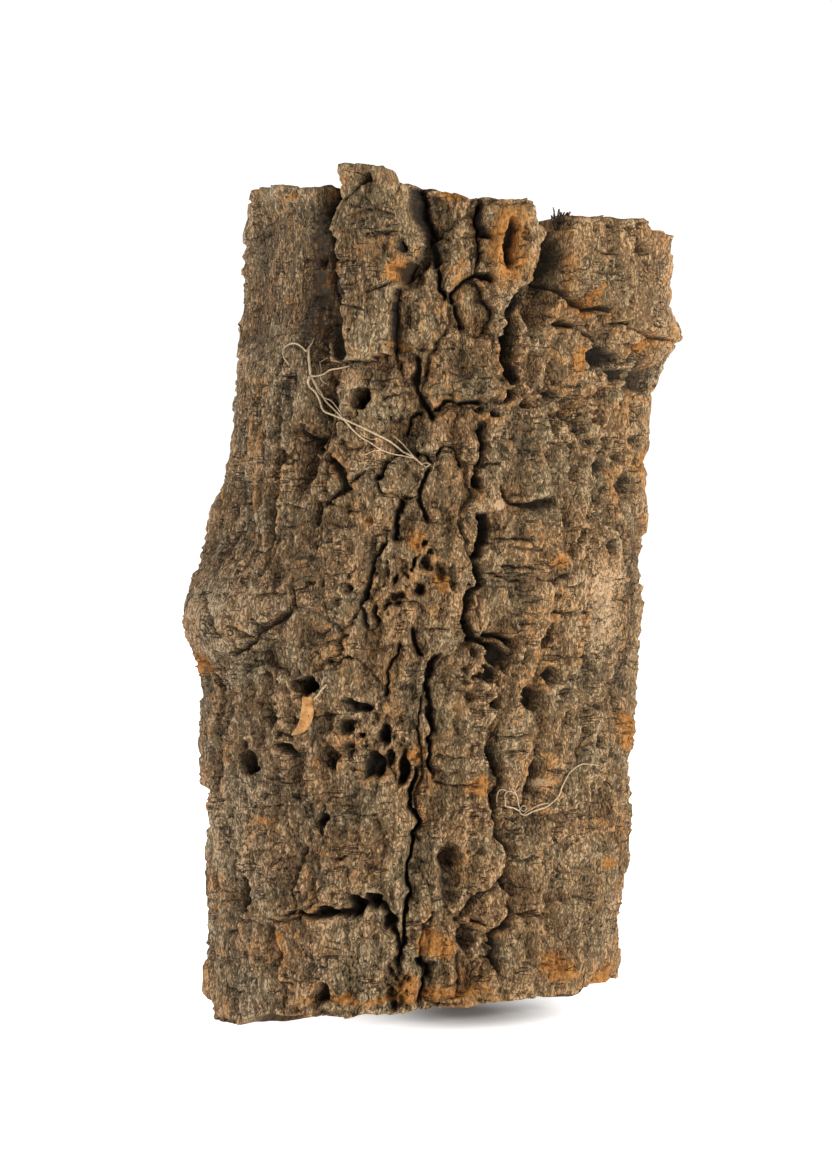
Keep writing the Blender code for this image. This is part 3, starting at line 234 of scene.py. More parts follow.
CALM = ((-66, 354, 32, 60), (-75, 205, 44, 34), (102, 200, 18, 44), (-22, 364, 18, 48))
PLATE_TILT = 1.3
CRACK_DEPTH = 5
CROSS_CRACK_SHARE = 0.3
SEED = 11


def all_plates():
    """Every plate on the unrolled bark: its centre, half sizes, rise, tilts, crack depth and tone."""
    random = np.random.default_rng(SEED)
    plates = [(*unrolled_oval(*plate[:4]), plate[4]) for plate in PLATES]
    drawn = np.array(plates)
    count = round(WHOLE_GIRTH / BRICK_WIDTH)
    for column in range(count):
        for row in range(math.ceil(420 / BRICK_HEIGHT) + 1):
            girth = (column / count - 0.5) * WHOLE_GIRTH + random.uniform(-BRICK_JITTER, BRICK_JITTER)
            height = (row + 0.5 * (column % 2)) * BRICK_HEIGHT
            height += random.uniform(-BRICK_JITTER, BRICK_JITTER)
            half_width = BRICK_WIDTH / 2 * random.uniform(*BRICK_SCALES)
            half_height = BRICK_HEIGHT / 2 * random.uniform(*BRICK_SCALES)
            rise = random.uniform(*BRICK_RISES)
            reach = np.hypot((drawn[:, 0] - girth) / drawn[:, 2], (drawn[:, 1] - height) / drawn[:, 3])
            if reach.min() > CLEAR_OF_DRAWN:
                plates.append((girth, height, half_width, half_height, rise))
    plates = np.array(plates)
    tilts = random.uniform(-PLATE_TILT, PLATE_TILT, (len(plates), 2))
    cracks = CRACK_DEPTH * random.uniform(0.1, 1.2, (len(plates), 1))
    tones = random.uniform(-1, 1, (len(plates), 1))
    return np.hstack([plates, tilts, cracks, tones])


PLATE_TABLE = all_plates()
print(len(PLATE_TABLE), "plates,", len(PLATES), "of them drawn")

# %% How far each point's plate stands out, how deep its crack is, and the plate's tone
POINTS_AT_ONCE = 20000


def plate_relief(girth, level):
    rise, crack, tone = np.zeros((3, len(girth)))
    for start in range(0, len(girth), POINTS_AT_ONCE):
        part = slice(start, start + POINTS_AT_ONCE)
        u = wrapped(girth[part, None] - PLATE_TABLE[:, 0]) / PLATE_TABLE[:, 2]
        v = (level[part, None] - PLATE_TABLE[:, 1]) / PLATE_TABLE[:, 3]
        reach = np.hypot(u, v)
        nearest = np.argpartition(reach, 1, axis=1)[:, :2]
        in_order = np.argsort(np.take_along_axis(reach, nearest, 1), axis=1)
        nearest = np.take_along_axis(nearest, in_order, 1)
        reach, u, v = (np.take_along_axis(values, nearest, 1) for values in (reach, u, v))
        slopes = np.hypot(u / PLATE_TABLE[nearest, 2], v / PLATE_TABLE[nearest, 3]) / np.maximum(reach, 1e-6)
        border = (reach[:, 1] - reach[:, 0]) / slopes.sum(1)
        sideways = np.abs(np.diff(u / PLATE_TABLE[nearest, 2] / reach, axis=1)[:, 0]) / slopes.sum(1)
        own = PLATE_TABLE[nearest[:, 0]]
        rise[part] = own[:, 4] + PLATE_DOME * (1 - np.minimum(reach[:, 0], 1.3) ** 2)
        rise[part] += own[:, 5] * np.clip(u[:, 0], -1.2, 1.2) + own[:, 6] * np.clip(v[:, 0], -1.2, 1.2)
        slit = 0.85 * (1 - smooth_step(0.2, 1.4, border)) + 0.15 * np.exp(-((border / 2.4) ** 2))
        share = CROSS_CRACK_SHARE + (1 - CROSS_CRACK_SHARE) * smooth_step(0.3, 0.8, sideways)
        crack[part] = slit * share * own[:, 7]
        tone[part] = own[:, 8]
    return rise, crack, tone


# %% [markdown]
# ## Swells, cracks and holes
# The rest of the drawing is of three kinds. Swells and sunken stretches move the whole wall. Deep
# cracks are lines with a slit and rounded shoulders. Pits are holes that stay inside the wall, and
# eroded patches are full of small ones. A mark touches only the points near it, and the points are
# kept in order of height, so that those near a mark are quick to find.

# %% The drawn marks
# An oval is across, up, half width and half height, and then how far it rises, sinks or goes in. A
# line is its half width, how deep or how proud it is, and its points. An eroded patch ends with how
# many pits it has and how deep they are.
SWELLS = (
    (-108, 194, 46, 23, 12), (-104, 238, 34, 26, -11), (-106, 158, 28, 16, -7), (-100, 300, 40, 60, -5),
    (-96, 318, 30, 16, 5), (-100, 45, 40, 50, 4), (-20, 366, 24, 60, 6), (-90, 350, 40, 40, 2),
    (60, 235, 40, 60, 4), (106, 110, 44, 66, 7), (104, 222, 30, 34, 5), (114, 158, 24, 18, -14),
    (116, 352, 26, 44, 6), (124, 329, 22, 13, 13),
)
SUNKEN = (
    (-63, 360, 24, 52, 8), (-53, 284, 9, 30, 5), (107, 203, 8, 42, 4), (-98, 56, 10, 48, 4),
    (64, 364, 12, 36, 12), (78, 283, 9, 26, 6), (62, 318, 10, 16, 4), (0, 378, 6, 26, 6),
    (16, 64, 8, 18, 6), (92, 272, 15, 44, 4), (96, 118, 12, 24, 3), (36, 120, 5, 26, 4),
    (46, 328, 7, 24, 6),
)
FISSURES = (
    (1.8, 9, ((2, 322.5), (-0.5, 319.5), (0, 311), (1.5, 305), (4, 299.5), (8, 291.5))),
    (1.4, 7, ((1.5, 297.5), (-2.5, 293.5), (-4, 288), (-4.5, 283.5))),
    (1.6, 8, ((7.5, 297.5), (12.5, 300), (16.5, 301.5), (24, 299), (28.5, 299), (32.5, 300))),
    (0.8, 3, ((-15.5, 301), (-12, 303), (-6, 304.5), (-1, 305))),
    (1.7, 9, ((33, 288), (32, 281.5), (31, 275), (30.5, 269), (28, 259), (29, 256.5))),
    (1.0, 6, ((9, 272), (12.5, 275), (16.5, 276.5), (19, 274), (19.5, 266.5))),
    (1.5, 8, ((5.5, 267.5), (4, 263), (1.5, 255), (2, 250.5), (5, 245), (7, 241))),
    (1.1, 5, ((-1, 276), (4.5, 273), (7, 270))),
    (1.4, 8, ((-14, 272), (-15.5, 266.5), (-17.5, 260))),
    (1.0, 5, ((-17.5, 260), (-14, 254), (-8, 250.5), (-1, 252), (1, 253))),
    (1.8, 10, ((-5, 251), (-9, 243), (-11, 237), (-9.5, 228.5))),
    (1.6, 8, ((-13.5, 231), (-18.5, 224), (-23, 216.5), (-26.5, 210), (-27.5, 201), (-25, 188))),
    (2.6, 13, ((29.5, 247), (32, 232), (28.5, 220.5))),
    (2.0, 12, ((28.5, 220.5), (32.5, 210), (27.5, 204), (24.5, 193.5), (26, 182), (33, 177), (41, 174.5))),
    (1.6, 10, ((12, 177.5), (9, 172.5), (5, 163), (4, 151), (8, 136), (8, 114))),
    (1.6, 8, ((-2.5, 186), (3, 173))),
    (1.4, 7, ((-9, 180), (-12.5, 171.5), (-13.5, 151))),
    (1.4, 12, ((-1, 119), (-2, 96), (1, 90), (-3, 76), (-4, 56), (-5, 36), (-9, 17))),
    (1.6, 10, ((38, 131), (39, 111), (37, 91), (45, 77), (43, 61), (45, 45), (39, 31), (39, 8))),
    (5.5, 11, ((-37.5, 414), (-37, 386), (-34, 361), (-33, 336), (-33, 318))),
    (1.6, 10, ((-34, 412), (-33.5, 386), (-30.5, 361), (-29.5, 336), (-29.5, 320))),
    (1.6, 7, ((-29, 398.5), (-23.5, 403), (-14, 409.5))),
    (1.2, 5, ((-20, 356), (-11, 358), (-4, 360.5), (1.5, 363.5))),
    (0.7, 2.5, ((-34.5, 374), (-26, 376), (-18, 375))),
    (0.7, 3, ((-16, 381), (-11, 383), (-4.5, 383))),
    (4.5, 9, ((3, 406), (4, 392), (6, 380), (9, 369))),
    (1.5, 9, ((9, 369), (11, 366), (12.5, 359), (16.5, 354.5))),
    (1.5, 8, ((18.5, 350), (19, 355.5), (22.5, 360.5), (28.5, 363), (37, 361))),
    (1.6, 7, ((20, 350), (21, 342), (23, 336))),
    (2.4, 8, ((31.5, 400), (32.5, 384.5), (35, 380))),
    (4.0, 14, ((54, 357), (47, 346), (46, 330), (48, 309))),
    (3.4, 9, ((70, 388), (71, 372), (71, 359))),
    (2.0, 9, ((67.5, 360), (75, 354), (84, 347), (92, 343.5), (92.5, 339))),
    (1.7, 9, ((69.5, 338.5), (78, 337), (85.5, 333.5), (91, 327), (98, 320.5))),
    (1.5, 7, ((90, 338), (98, 338.5), (107, 332), (122, 323))),
    (0.8, 3, ((125, 347), (124.5, 324.5))),
    (0.8, 4, ((85, 373), (92, 374))),
    (1.8, 7, ((40.5, 257), (43.5, 250.5), (51, 248), (62, 250))),
    (1.2, 5, ((27, 269), (38, 269))),
    (1.3, 5, ((34, 230), (43, 229), (51, 229))),
    (0.9, 3, ((41, 224.5), (55.5, 225))),
    (1.1, 4, ((33, 213), (48, 209.5))),
    (1.4, 6, ((60, 211.5), (67.5, 213))),
    (0.9, 4, ((64, 207.5), (72, 207))),
    (1.4, 6, ((61.5, 195), (72, 194))),
    (1.8, 9, ((96, 247), (97, 221), (97.5, 191), (96, 161))),
    (2.4, 5, ((-78.5, 301), (-79.5, 296.5), (-79, 281), (-80, 266), (-83, 258.5))),
    (2.4, 7, ((-59, 291), (-55.5, 282), (-49.5, 276), (-48.5, 269))),
    (2.0, 6, ((-41.5, 315.5), (-44.5, 306.5), (-43.5, 292), (-45.5, 286), (-46, 273))),
    (2.2, 8, ((-46, 273), (-36.5, 264), (-34, 257.5), (-40.5, 252), (-45.5, 248.5))),
    (2.6, 5, ((-70, 274), (-71, 264), (-71, 251))),
    (2.4, 5, ((-50, 252), (-49.5, 240))),
    (1.6, 5, ((-68.5, 289), (-71.5, 284))),
    (1.1, 6, ((-100, 205), (-95, 198), (-90, 187))),
    (1.0, 4, ((-87, 191), (-82, 185), (-77, 183))),
    (1.3, 5, ((-61.5, 210), (-59.5, 202.5), (-58, 195))),
    (2.2, 6, ((-58, 195), (-64.5, 190.5), (-71.5, 188), (-76.5, 181.5), (-86, 174))),
    (0.9, 4, ((-58.5, 204), (-53, 209), (-49.5, 210))),
    (1.0, 4, ((-44, 182), (-38, 183), (-33.5, 184.5))),
    (1.0, 4, ((-44, 170.5), (-38, 171), (-32.5, 174))),
    (1.4, 6, ((-53, 82), (-56, 61), (-57, 48))),
    (1.6, 6, ((-65, 39), (-64, 22), (-66, 16))),
    (1.8, 9, ((-62, 45), (-44, 43), (-28, 47), (-18, 49), (-10, 40), (-8, 22))),
    (1.4, 6, ((23, 41), (35, 57), (44, 65))),
    (1.2, 5, ((30, 42), (38, 36))),
    (1.1, 5, ((43, 45), (57, 45), (63, 56))),
    (1.8, 8, ((1, 23), (5, 13), (1, 0))),
    (1.4, 7, ((22, 24), (18, 4))),
    (2.6, 9, ((31, 182), (39, 181.5), (47, 181))),
)
RIDGES = (
    (1.6, 3, ((-77, 296.5), (-79, 273.5), (-79.5, 256.5), (-77, 242), (-75, 221), (-75, 202.5),
              (-80, 190.5))),
    (1.3, 3, ((-59.5, 280.5), (-57.5, 276), (-59, 271.5), (-63, 267.5), (-66, 260.5))),
    (1.6, 4, ((72, 302.5), (75.5, 299), (72, 291.5), (69, 280.5), (67, 268.5), (68, 253.5), (72.5, 247))),
    (1.2, 4, ((82, 307), (80.5, 299), (79, 291), (80.5, 285.5), (79, 278), (81.5, 274.5), (87.5, 270))),
    (1.2, 4, ((24.5, 181.5), (33, 169.5))),
    (1.3, 4, ((38.5, 170.5), (46.5, 161.5), (47, 151))),
)
PITS = (
    (-68, 320, 2.2, 3, 8), (-45, 370, 4, 4, 9), (-5, 376, 2, 4, 8), (-3.5, 364, 2.2, 4.5, 8),
    (43, 379, 3, 11, 9), (93, 386, 1.5, 1.5, 6), (98, 385, 1.8, 2, 7), (102, 376, 3, 4, 8),
    (43, 304, 3.4, 3.4, 9), (66, 303, 4.5, 3.5, 7), (52, 300, 2.2, 2, 6), (50, 288, 2, 3.5, 4),
    (36, 293, 2, 2, 6), (31, 294, 2, 2, 6), (30, 260, 2.5, 3.5, 8), (75, 281, 5, 18, 11),
    (91, 304, 5, 5, 8), (92, 293, 4, 5, 9), (94, 271, 5, 7.5, 10), (103, 258, 3.5, 7.5, 7),
    (104, 280, 2.2, 2.2, 7), (77, 234, 3.2, 4, 9), (86, 246, 2.4, 5, 7), (68, 243, 1.6, 3.5, 6),
    (90, 228, 2.4, 3, 6), (91, 321, 6, 7, 10), (98, 313, 4, 4, 8), (106, 309, 4, 7, 7),
    (100, 328, 1.5, 5, 6), (-12, 209, 1.6, 1.6, 6), (0, 206, 1.5, 2.8, 7), (-6, 212, 1.6, 1.6, 5),
    (4, 230, 2, 2, 6), (0, 221, 1.5, 3, 6), (8, 225, 2, 1.5, 5), (62, 202, 1.4, 2.8, 6),
    (-21, 195, 1.5, 5, 8), (-29, 149, 7, 2.6, 9), (-18, 133, 3, 6, 9), (-64, 272, 2.5, 4, 5),
    (-21, 118, 6, 5, 11), (-7, 117, 2.6, 9, 11), (-64, 128, 5, 3, 8), (-82, 54, 3.6, 9, 12),
    (-47, 3, 4, 5, 8), (85, 130, 4, 4, 10), (91, 123, 2.6, 3, 8), (100, 120, 3, 8, 9),
    (78, 104, 2.8, 5, 11), (56, 113, 3, 8, 8), (55, 154, 6, 5, 9), (33, 163, 4, 5, 8),
    (37, 149, 4, 3, 10), (38, 172, 8, 6, 8), (-44, 44, 6, 3, 13), (-28, 48, 6, 4.5, 14),
    (-20, 50, 3.5, 4.5, 15), (-12, 40, 3, 4, 12), (-46, 92, 2.2, 8, 9), (-52, 280, 4, 6, 8),
    (27, 32, 5, 7, 6), (16, 72, 6, 8, 6), (46.5, 330, 5.5, 19, 11), (70, 369, 5.5, 15, 8),
)
ERODED = (
    (94, 283, 13, 46, 26, 8), (72, 296, 12, 16, 7, 6), (0, 207, 16, 14, 9, 6), (52, 172, 24, 14, 8, 8),
    (96, 128, 10, 24, 9, 7), (-26, 128, 16, 12, 8, 6), (-4, 10, 10, 10, 7, 5),
    (104, 326, 12, 12, 8, 7), (48, 346, 8, 40, 8, 5), (88, 262, 16, 40, 30, 7),
    (-76, 150, 18, 14, 8, 4), (88, 150, 14, 8, 6, 6),
)
PIT_SIZES = (1.4, 3.6)


def all_pits():
    """The drawn pits, and more at random in the eroded patches, on the unrolled bark."""
    random = np.random.default_rng(SEED + 1)
    pits = [(*unrolled_oval(*pit[:4]), pit[4]) for pit in PITS]
    for across, up, half_width, half_height, count, depth in ERODED:
        g, z, half_g, half_z = unrolled_oval(across, up, half_width, half_height)
        for _ in range(count):
            size = random.uniform(*PIT_SIZES)
            pits.append((
                g + half_g * random.uniform(-1, 1), z + half_z * random.uniform(-1, 1),
                size, size * random.uniform(0.8, 1.6), depth * random.uniform(0.5, 1.1),
            ))
    return pits


# %% Marking the bark
class Unrolled:
    """Points of the bark laid out flat, in order of level. Marks are added to it one by one: rise is
    how far swells and sunken stretches move the wall, and depth is that of cracks and pits."""

    def __init__(self, girth, level):
        self.order = np.argsort(level)
        self.girth, self.level = girth[self.order], level[self.order]
        self.rise, self.depth = np.zeros((2, len(girth)))

    def near(self, girth, level, reach, reach_up=None):
        """The points within reach of a place, and how far each lies round the girth from it."""
        reach_up = reach if reach_up is None else reach_up
        low, high = np.searchsorted(self.level, (level - reach_up, level + reach_up))
        aside = wrapped(self.girth[low:high] - girth)
        close = np.flatnonzero(np.abs(aside) < reach)
        return close + low, aside[close]

    def deepen(self, points, depth):
        self.depth[points] = np.maximum(self.depth[points], depth)

    def swell(self, girth, level, half_width, half_height, proud):
        out = np.hypot(wrapped(self.girth - girth) / half_width, (self.level - level) / half_height)
        self.rise += proud * np.exp(-1.2 * out ** 2)

    def sink(self, girth, level, half_width, half_height, deep, sunk):
        points, aside = self.near(girth, level, half_width, half_height)
        inside = 1 - np.hypot(aside / half_width, (self.level[points] - level) / half_height)
        sunk[points] = np.maximum(sunk[points], deep * smooth_step(0, 0.5, inside))

    def pit(self, girth, level, half_width, half_height, deep):
        points, aside = self.near(girth, level, 1.3 * half_width, 1.3 * half_height)
        out = np.hypot(aside / half_width, (self.level[points] - level) / half_height)
        self.deepen(points, deep * (1 - smooth_step(0.55, 1.25, out)))

    def fissure(self, half_width, deep, line):
        """A slit with rounded shoulders along a line, which tapers off at both ends."""
        middle, size = (line.min(0) + line.max(0)) / 2, np.ptp(line, axis=0) / 2 + 8 * half_width
        points, aside = self.near(*middle, *size)
        gap, along = line_distance(aside + middle[0], self.level[points], line)
        taper = smooth_step(0, 0.12, np.minimum(along, 1 - along) + 0.04)
        slit = 1 - smooth_step(0.15 * half_width, 1.1 * half_width, gap)
        shoulder = np.exp(-((gap / (3.2 * half_width)) ** 2))
        self.deepen(points, deep * taper * (0.76 * slit + 0.24 * shoulder))

    def ridge(self, half_width, proud, line):
        """A sharp crest along a line, which tapers off at both ends."""
        middle, size = (line.min(0) + line.max(0)) / 2, np.ptp(line, axis=0) / 2 + 5 * half_width
        points, aside = self.near(*middle, *size)
        gap, along = line_distance(aside + middle[0], self.level[points], line)
        taper = smooth_step(0, 0.2, np.minimum(along, 1 - along))
        self.rise[points] += proud * taper * np.exp(-gap / half_width)

    def in_first_order(self, values):
        back = np.empty(len(values))
        back[self.order] = values
        return back


def line_distance(girth, level, line):
    """Distance of each point from a line of straight stretches, and its share of the way along."""
    nearest, along = np.full(len(girth), np.inf), np.zeros(len(girth))
    lengths = np.hypot(*np.diff(line, axis=0).T)
    starts = np.concatenate([[0], np.cumsum(lengths)])
    for k, (a, b) in enumerate(zip(line[:-1], line[1:])):
        way = b - a
        t = np.clip(((girth - a[0]) * way[0] + (level - a[1]) * way[1]) / (way @ way), 0, 1)
        gap = np.hypot(girth - a[0] - t * way[0], level - a[1] - t * way[1])
        closer = gap < nearest
        nearest[closer] = gap[closer]
        along[closer] = ((starts[k] + t * lengths[k]) / starts[-1])[closer]
    return nearest, along


print(len(FISSURES), "fissures,", len(all_pits()), "pits")

# %% [markdown]
# ## Fine relief
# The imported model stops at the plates, cracks and holes. Real cork has more: fibres that run up the
# bark, crumbs, short cracks across each plate, pores that insects left, and thin layers, one for
# each few years, whose broken edges show as small steps. Layers are made by pulling the relief
# towards whole steps. The short cracks and pores are scattered with a fixed seed, and pores crowd
# where the bark is eaten away.

# %% The small marks, scattered over the whole bark
CROSS_CRACKS = 420
PORES = 1500
LAYER = 1.7
LAYER_PULL = 0.75
STRIATED = (
    (-63, 350, 26, 62), (-20, 370, 20, 50), (122, 335, 12, 60), (104, 200, 10, 56), (-92, 215, 26, 40),
    (-98, 56, 12, 60), (-80, 300, 18, 40), (70, 200, 16, 40), (20, 340, 14, 40), (-81, 16, 20, 30),
)


def scattered_cracks():
    """Short cracks that run across the fibres: half width, depth and line."""
    random = np.random.default_rng(SEED + 2)
    cracks = []
    for _ in range(CROSS_CRACKS):
        start = np.array([random.uniform(-0.5, 0.5) * WHOLE_GIRTH, random.uniform(0, 410)])
        length, slope = random.uniform(5, 18), random.normal(0, 0.12)
        bend = random.normal(0, 0.8)
        line = [start + (t * length, t * length * slope + bend * math.sin(math.pi * t))
                for t in (0, 0.33, 0.67, 1)]
        cracks.append((random.uniform(0.45, 0.95), random.uniform(1.2, 3.6), np.array(line)))
    return cracks


def scattered_pores():
    """Small holes: centre, half sizes and depth. Half of them are in the eroded patches."""
    random = np.random.default_rng(SEED + 3)
    pores = []
    patches = [unrolled_oval(*patch[:4]) for patch in ERODED]
    for k in range(PORES):
        size = random.uniform(0.7, 1.0) * random.choice([0.8, 1.1, 1.5, 2.2], p=[0.4, 0.3, 0.2, 0.1])
        if k % 2:
            g, z = random.uniform(-0.5, 0.5) * WHOLE_GIRTH, random.uniform(0, 410)
        else:
            g, z, half_g, half_z = patches[random.integers(len(patches))]
            g, z = g + 1.3 * half_g * random.uniform(-1, 1), z + 1.3 * half_z * random.uniform(-1, 1)
        pores.append((g, z, size, size * random.uniform(0.8, 1.7), size * random.uniform(1.2, 2.4)))
    return pores


print(len(scattered_cracks()), "short cracks and", len(scattered_pores()), "pores")

# %% The whole relief of the bark's outer face
# Ovals in which bare cork shows.
BARE = (
    (-79.5, 402, 7, 4), (-64.5, 401, 5, 1.6), (42, 375, 12, 27), (-5.5, 364.5, 4, 7),
    (-7, 326, 9, 3), (-25.5, 295, 4, 3), (-0.5, 232.5, 8, 9), (-23, 238.5, 3, 3), (-79, 233.5, 3, 3),
    (-73, 92, 7, 2.6), (-5.5, 8, 10, 11), (10, 30, 14, 11), (28, 107.5, 9, 6), (-0.5, 125, 8, 6),
    (63, 17.5, 11, 11), (92.5, 15, 6, 6), (82, 347, 9, 6), (84, 357, 3, 9), (81, 321, 5, 11),
    (128, 328, 4, 8), (62, 375, 5, 12), (18, 402, 9, 4), (24, 371, 3, 3),
    (12, 212, 5, 6), (64, 221, 6, 8), (109, 268, 4, 12), (103, 330, 5, 8), (-98, 167.5, 6, 9),
    (-10.5, 3, 62, 3), (84.5, 68.5, 4, 3), (-63, 32, 3, 3), (98, 135, 6, 16),
)
# How much paler or darker than the rest the bark is painted, inside an oval; below 0 it is darker. Paler is
# partly the bark's own rubbed cork and partly painted light where the bark faces the lamps. Darker is painted
# shade, such as the shadow that the proud plate at the upper left casts beside it, and the shade in and
# around some holes.
WEAR_LIGHT_AND_SHADE = (
    (-18, 372, 20, 56, -2.1), (-45, 368, 14, 60, -4.2), (20, 312, 22, 20, -1.1), (82, 346, 16, 24, -0.5),
    (103, 200, 8, 46, -2.0), (85, 196, 10, 32, 1.6), (84, 216, 15, 19, 0.5), (4, 193, 14, 18, 0.6),
    (-75, 83, 24, 32, 0.9), (-35, 21, 30, 24, 0.7), (17, 91, 12, 20, 0.7), (67, 76, 20, 24, 0.7),
    (92, 41, 10, 28, 0.9), (118, 350, 12, 34, 1.0), (-84, 207, 24, 24, 0.7), (50.5, 288.5, 1.3, 3.2, 4),
    (38.4, 250.7, 3, 5, 2.5), (-80, 119, 5, 8, -4), (-82, 54, 4, 10, -4), (-26, 300, 6, 7, -4),
    (46, 345, 4, 6, 1.5), (58.5, 110, 2, 2, 3), (-10, 300, 3, 3, 1), (30, 32, 5, 5, 1), (40, 16, 6, 10, 0.6),
)
BareBark = namedtuple("BareBark", "relief marks tone striated bare worn")


def inside_oval(flat, oval, edge):
    """The points in a drawn oval, and how far inside it each is: 0 at its edge, and 1 once it is
    that share of the oval's half size further in."""
    g, z, half_g, half_z = unrolled_oval(*oval)
    points, aside = flat.near(g, z, half_g, half_z)
    out = np.hypot(aside / half_g, (flat.level[points] - z) / half_z)
    return points, np.clip((1 - out) / edge, 0, 1)


def patches(flat, ovals, edge=1.0):
    """How far inside the nearest of some drawn ovals each point is."""
    inside = np.zeros(len(flat.girth))
    for oval in ovals:
        points, depth = inside_oval(flat, oval, edge)
        inside[points] = np.maximum(inside[points], depth)
    return inside


def wear_light_and_shade_of(flat):
    """How much paler, or darker, each point is painted, for rubbed cork, painted light and painted shade."""
    amount = np.zeros(len(flat.girth))
    for *oval, paler in WEAR_LIGHT_AND_SHADE:
        points, depth = inside_oval(flat, oval, 0.6)
        amount[points] += paler * depth
    return amount


def outer_bark(angle, height):
    """How far the surface stands out from the smooth form, and what it is like at each point: how
    deep its marks are, the tone of its plate, how striated it is, how bare of crust, and how much paler or
    darker it is painted, for rubbed cork, painted light and painted shade."""
    x, y = form(angle, height)
    points = np.stack([x, y, height], 1)
    # The drawing wanders, widely and then finely, so that no line on it is straight or smooth.
    girth = girth_of(angle) + 3.2 * noise_at(points, 21, 1) + 1.1 * noise_at(points, 7, 2)
    level = height + 3.6 * noise_at(points, 23, 3) + 1.1 * noise_at(points, 7, 4)
    ragged = 0.8 * noise_at(points, 4.2, 5, octaves=3)
    flat = Unrolled(girth + ragged, level - ragged)
    sunk = np.zeros(len(girth))
    for *oval, proud in SWELLS:
        flat.swell(*unrolled_oval(*oval), proud)
    for *oval, deep in SUNKEN:
        flat.sink(*unrolled_oval(*oval), deep, sunk)
    for half_width, deep, line in FISSURES:
        flat.fissure(half_width, deep, np.array([unrolled(*point) for point in line]))
    for half_width, proud, line in RIDGES:
        flat.ridge(half_width, proud, np.array([unrolled(*point) for point in line]))
    for pit in all_pits():
        flat.pit(*pit)
    rise, crack, tone = plate_relief(flat.girth, flat.level)
    rilled, calm = patches(flat, RILLED, 0.45), patches(flat, CALM, 0.3)
    whole = noise_at(points[flat.order], 30, 16, squash=0.7, octaves=2)
    crack *= (1 - 0.9 * np.maximum(0.7 * rilled, calm)) * (0.2 + 0.8 * smooth_step(-0.2, 0.35, whole))
    relief = flat.in_first_order(flat.rise + rise * (1 - 0.5 * rilled) - crack - sunk - flat.depth)
    rilled, calm = flat.in_first_order(rilled), flat.in_first_order(calm)
    # Broad waves, lumps, folds and rills. Ridges and valleys are made by noise without its sign.
    relief += 3.0 * noise_at(points, 60, 6, squash=0.5, octaves=2)
    relief += (1 - 0.7 * calm) * 2.2 * noise_at(points, 16, 7, squash=0.5)
    relief += (1 - 0.9 * calm) * FOLDS * (0.35 - np.abs(noise_at(points, 24, 8, squash=0.24, octaves=2)))
    relief += rilled * RILLS * (0.3 - np.abs(noise_at(points, 11, 15, squash=0.2, octaves=2)))
    marks = flat.in_first_order(np.maximum(flat.depth, crack))
    striated = flat.in_first_order(patches(flat, STRIATED, 0.5))
    fine, small = fine_relief(points, Unrolled(girth_of(angle) + ragged, height - ragged), relief, striated)
    return BareBark(relief + fine, np.maximum(marks, small), flat.in_first_order(tone), striated,
                    flat.in_first_order(patches(flat, BARE)), flat.in_first_order(wear_light_and_shade_of(flat)))


def fine_relief(points, flat, relief, striated):
    """What the finer marks add to the relief, and how deep they are."""
    calm = 1 - 0.6 * striated
    crumbs = calm * (1.3 * noise_at(points, 8, 21) + 0.7 * noise_at(points, 3.2, 22, octaves=2))
    crumbs += calm * 2.2 * (0.25 - np.abs(noise_at(points, 7, 25, squash=0.35, octaves=2)))
    crumbs += calm * 1.6 * (np.abs(noise_at(points, 9, 26, squash=0.6, octaves=3)) - 0.25)
    fibres = (0.16 + 0.4 * striated) * noise_at(points, 2.3, 23, squash=0.07, octaves=2)
    layer = (relief + crumbs) / LAYER + 1.2 * noise_at(points, 14, 24, octaves=2)
    step = layer - np.floor(layer)
    layers = LAYER * LAYER_PULL * calm * (smooth_step(0.3, 0.62, step) - step)
    for crack in scattered_cracks():
        flat.fissure(*crack)
    for pore in scattered_pores():
        flat.pit(*pore)
    small = flat.in_first_order(flat.depth)
    return crumbs + fibres + layers - small, small


def inner_relief(angle, height):
    """The hollow's face waves gently, in long ridges up the branch."""
    x, y = form(angle, height)
    points = np.stack([x, y, height], 1)
    ridges = noise_at(points, 34, 9, squash=0.3) + 0.4 * noise_at(points, 9, 10, squash=0.4)
    return HOLLOW_ROUGHNESS * ridges


sample = outer_bark(np.linspace(-1.2, 1.2, 2000), np.full(2000, 200.0)).relief
print("half way up the front, the relief runs from", sample.min().round(1), "to", sample.max().round(1), "mm")

# %% [markdown]
# ## The tube
# A ring is spun from the outline of the wall, and then cut finer by a simple subdivision, which is
# quicker than spinning so many steps. The ring is only a set of addresses: the angle of a vertex says
# where round the branch it goes, its radius how far through the wall, and its height how far up.
# Each vertex is then moved to its place. The columns crowd towards the front, where most is drawn.
# Decimate then spends the triangles where the surface bends, and three rough plugs are cut out of
# the wall, for the holes that go right through it.

# %% The rims
TOP_EDGE = (
    (-86, 405), (-60, 408), (-35.5, 407), (-33.5, 417), (-12.5, 417), (-10.5, 408), (30, 402),
    (50.5, 399), (53.5, 387), (76, 386), (79, 393), (107, 391), (112, 386), (118, 380), (123, 375),
    (129, 371),
)
BACK_EDGE = 394
BASE_LIFT = (
    (-180, 5), (-140, 3), (-112, 16), (-92, 22), (-78, 15), (-68, 4), (-57, 3), (-49, 10),
    (-36, 12), (-20, 13), (0, 14), (35, 15), (70, 15), (100, 12), (130, 6), (180, 5),
)
LIFTED_SHARES_OF_WALL = (0.4, 0.62)
WHOLLY_LIFTED = ((-180, 0), (-57, 0), (-46, 1), (84, 1), (108, 0), (180, 0))


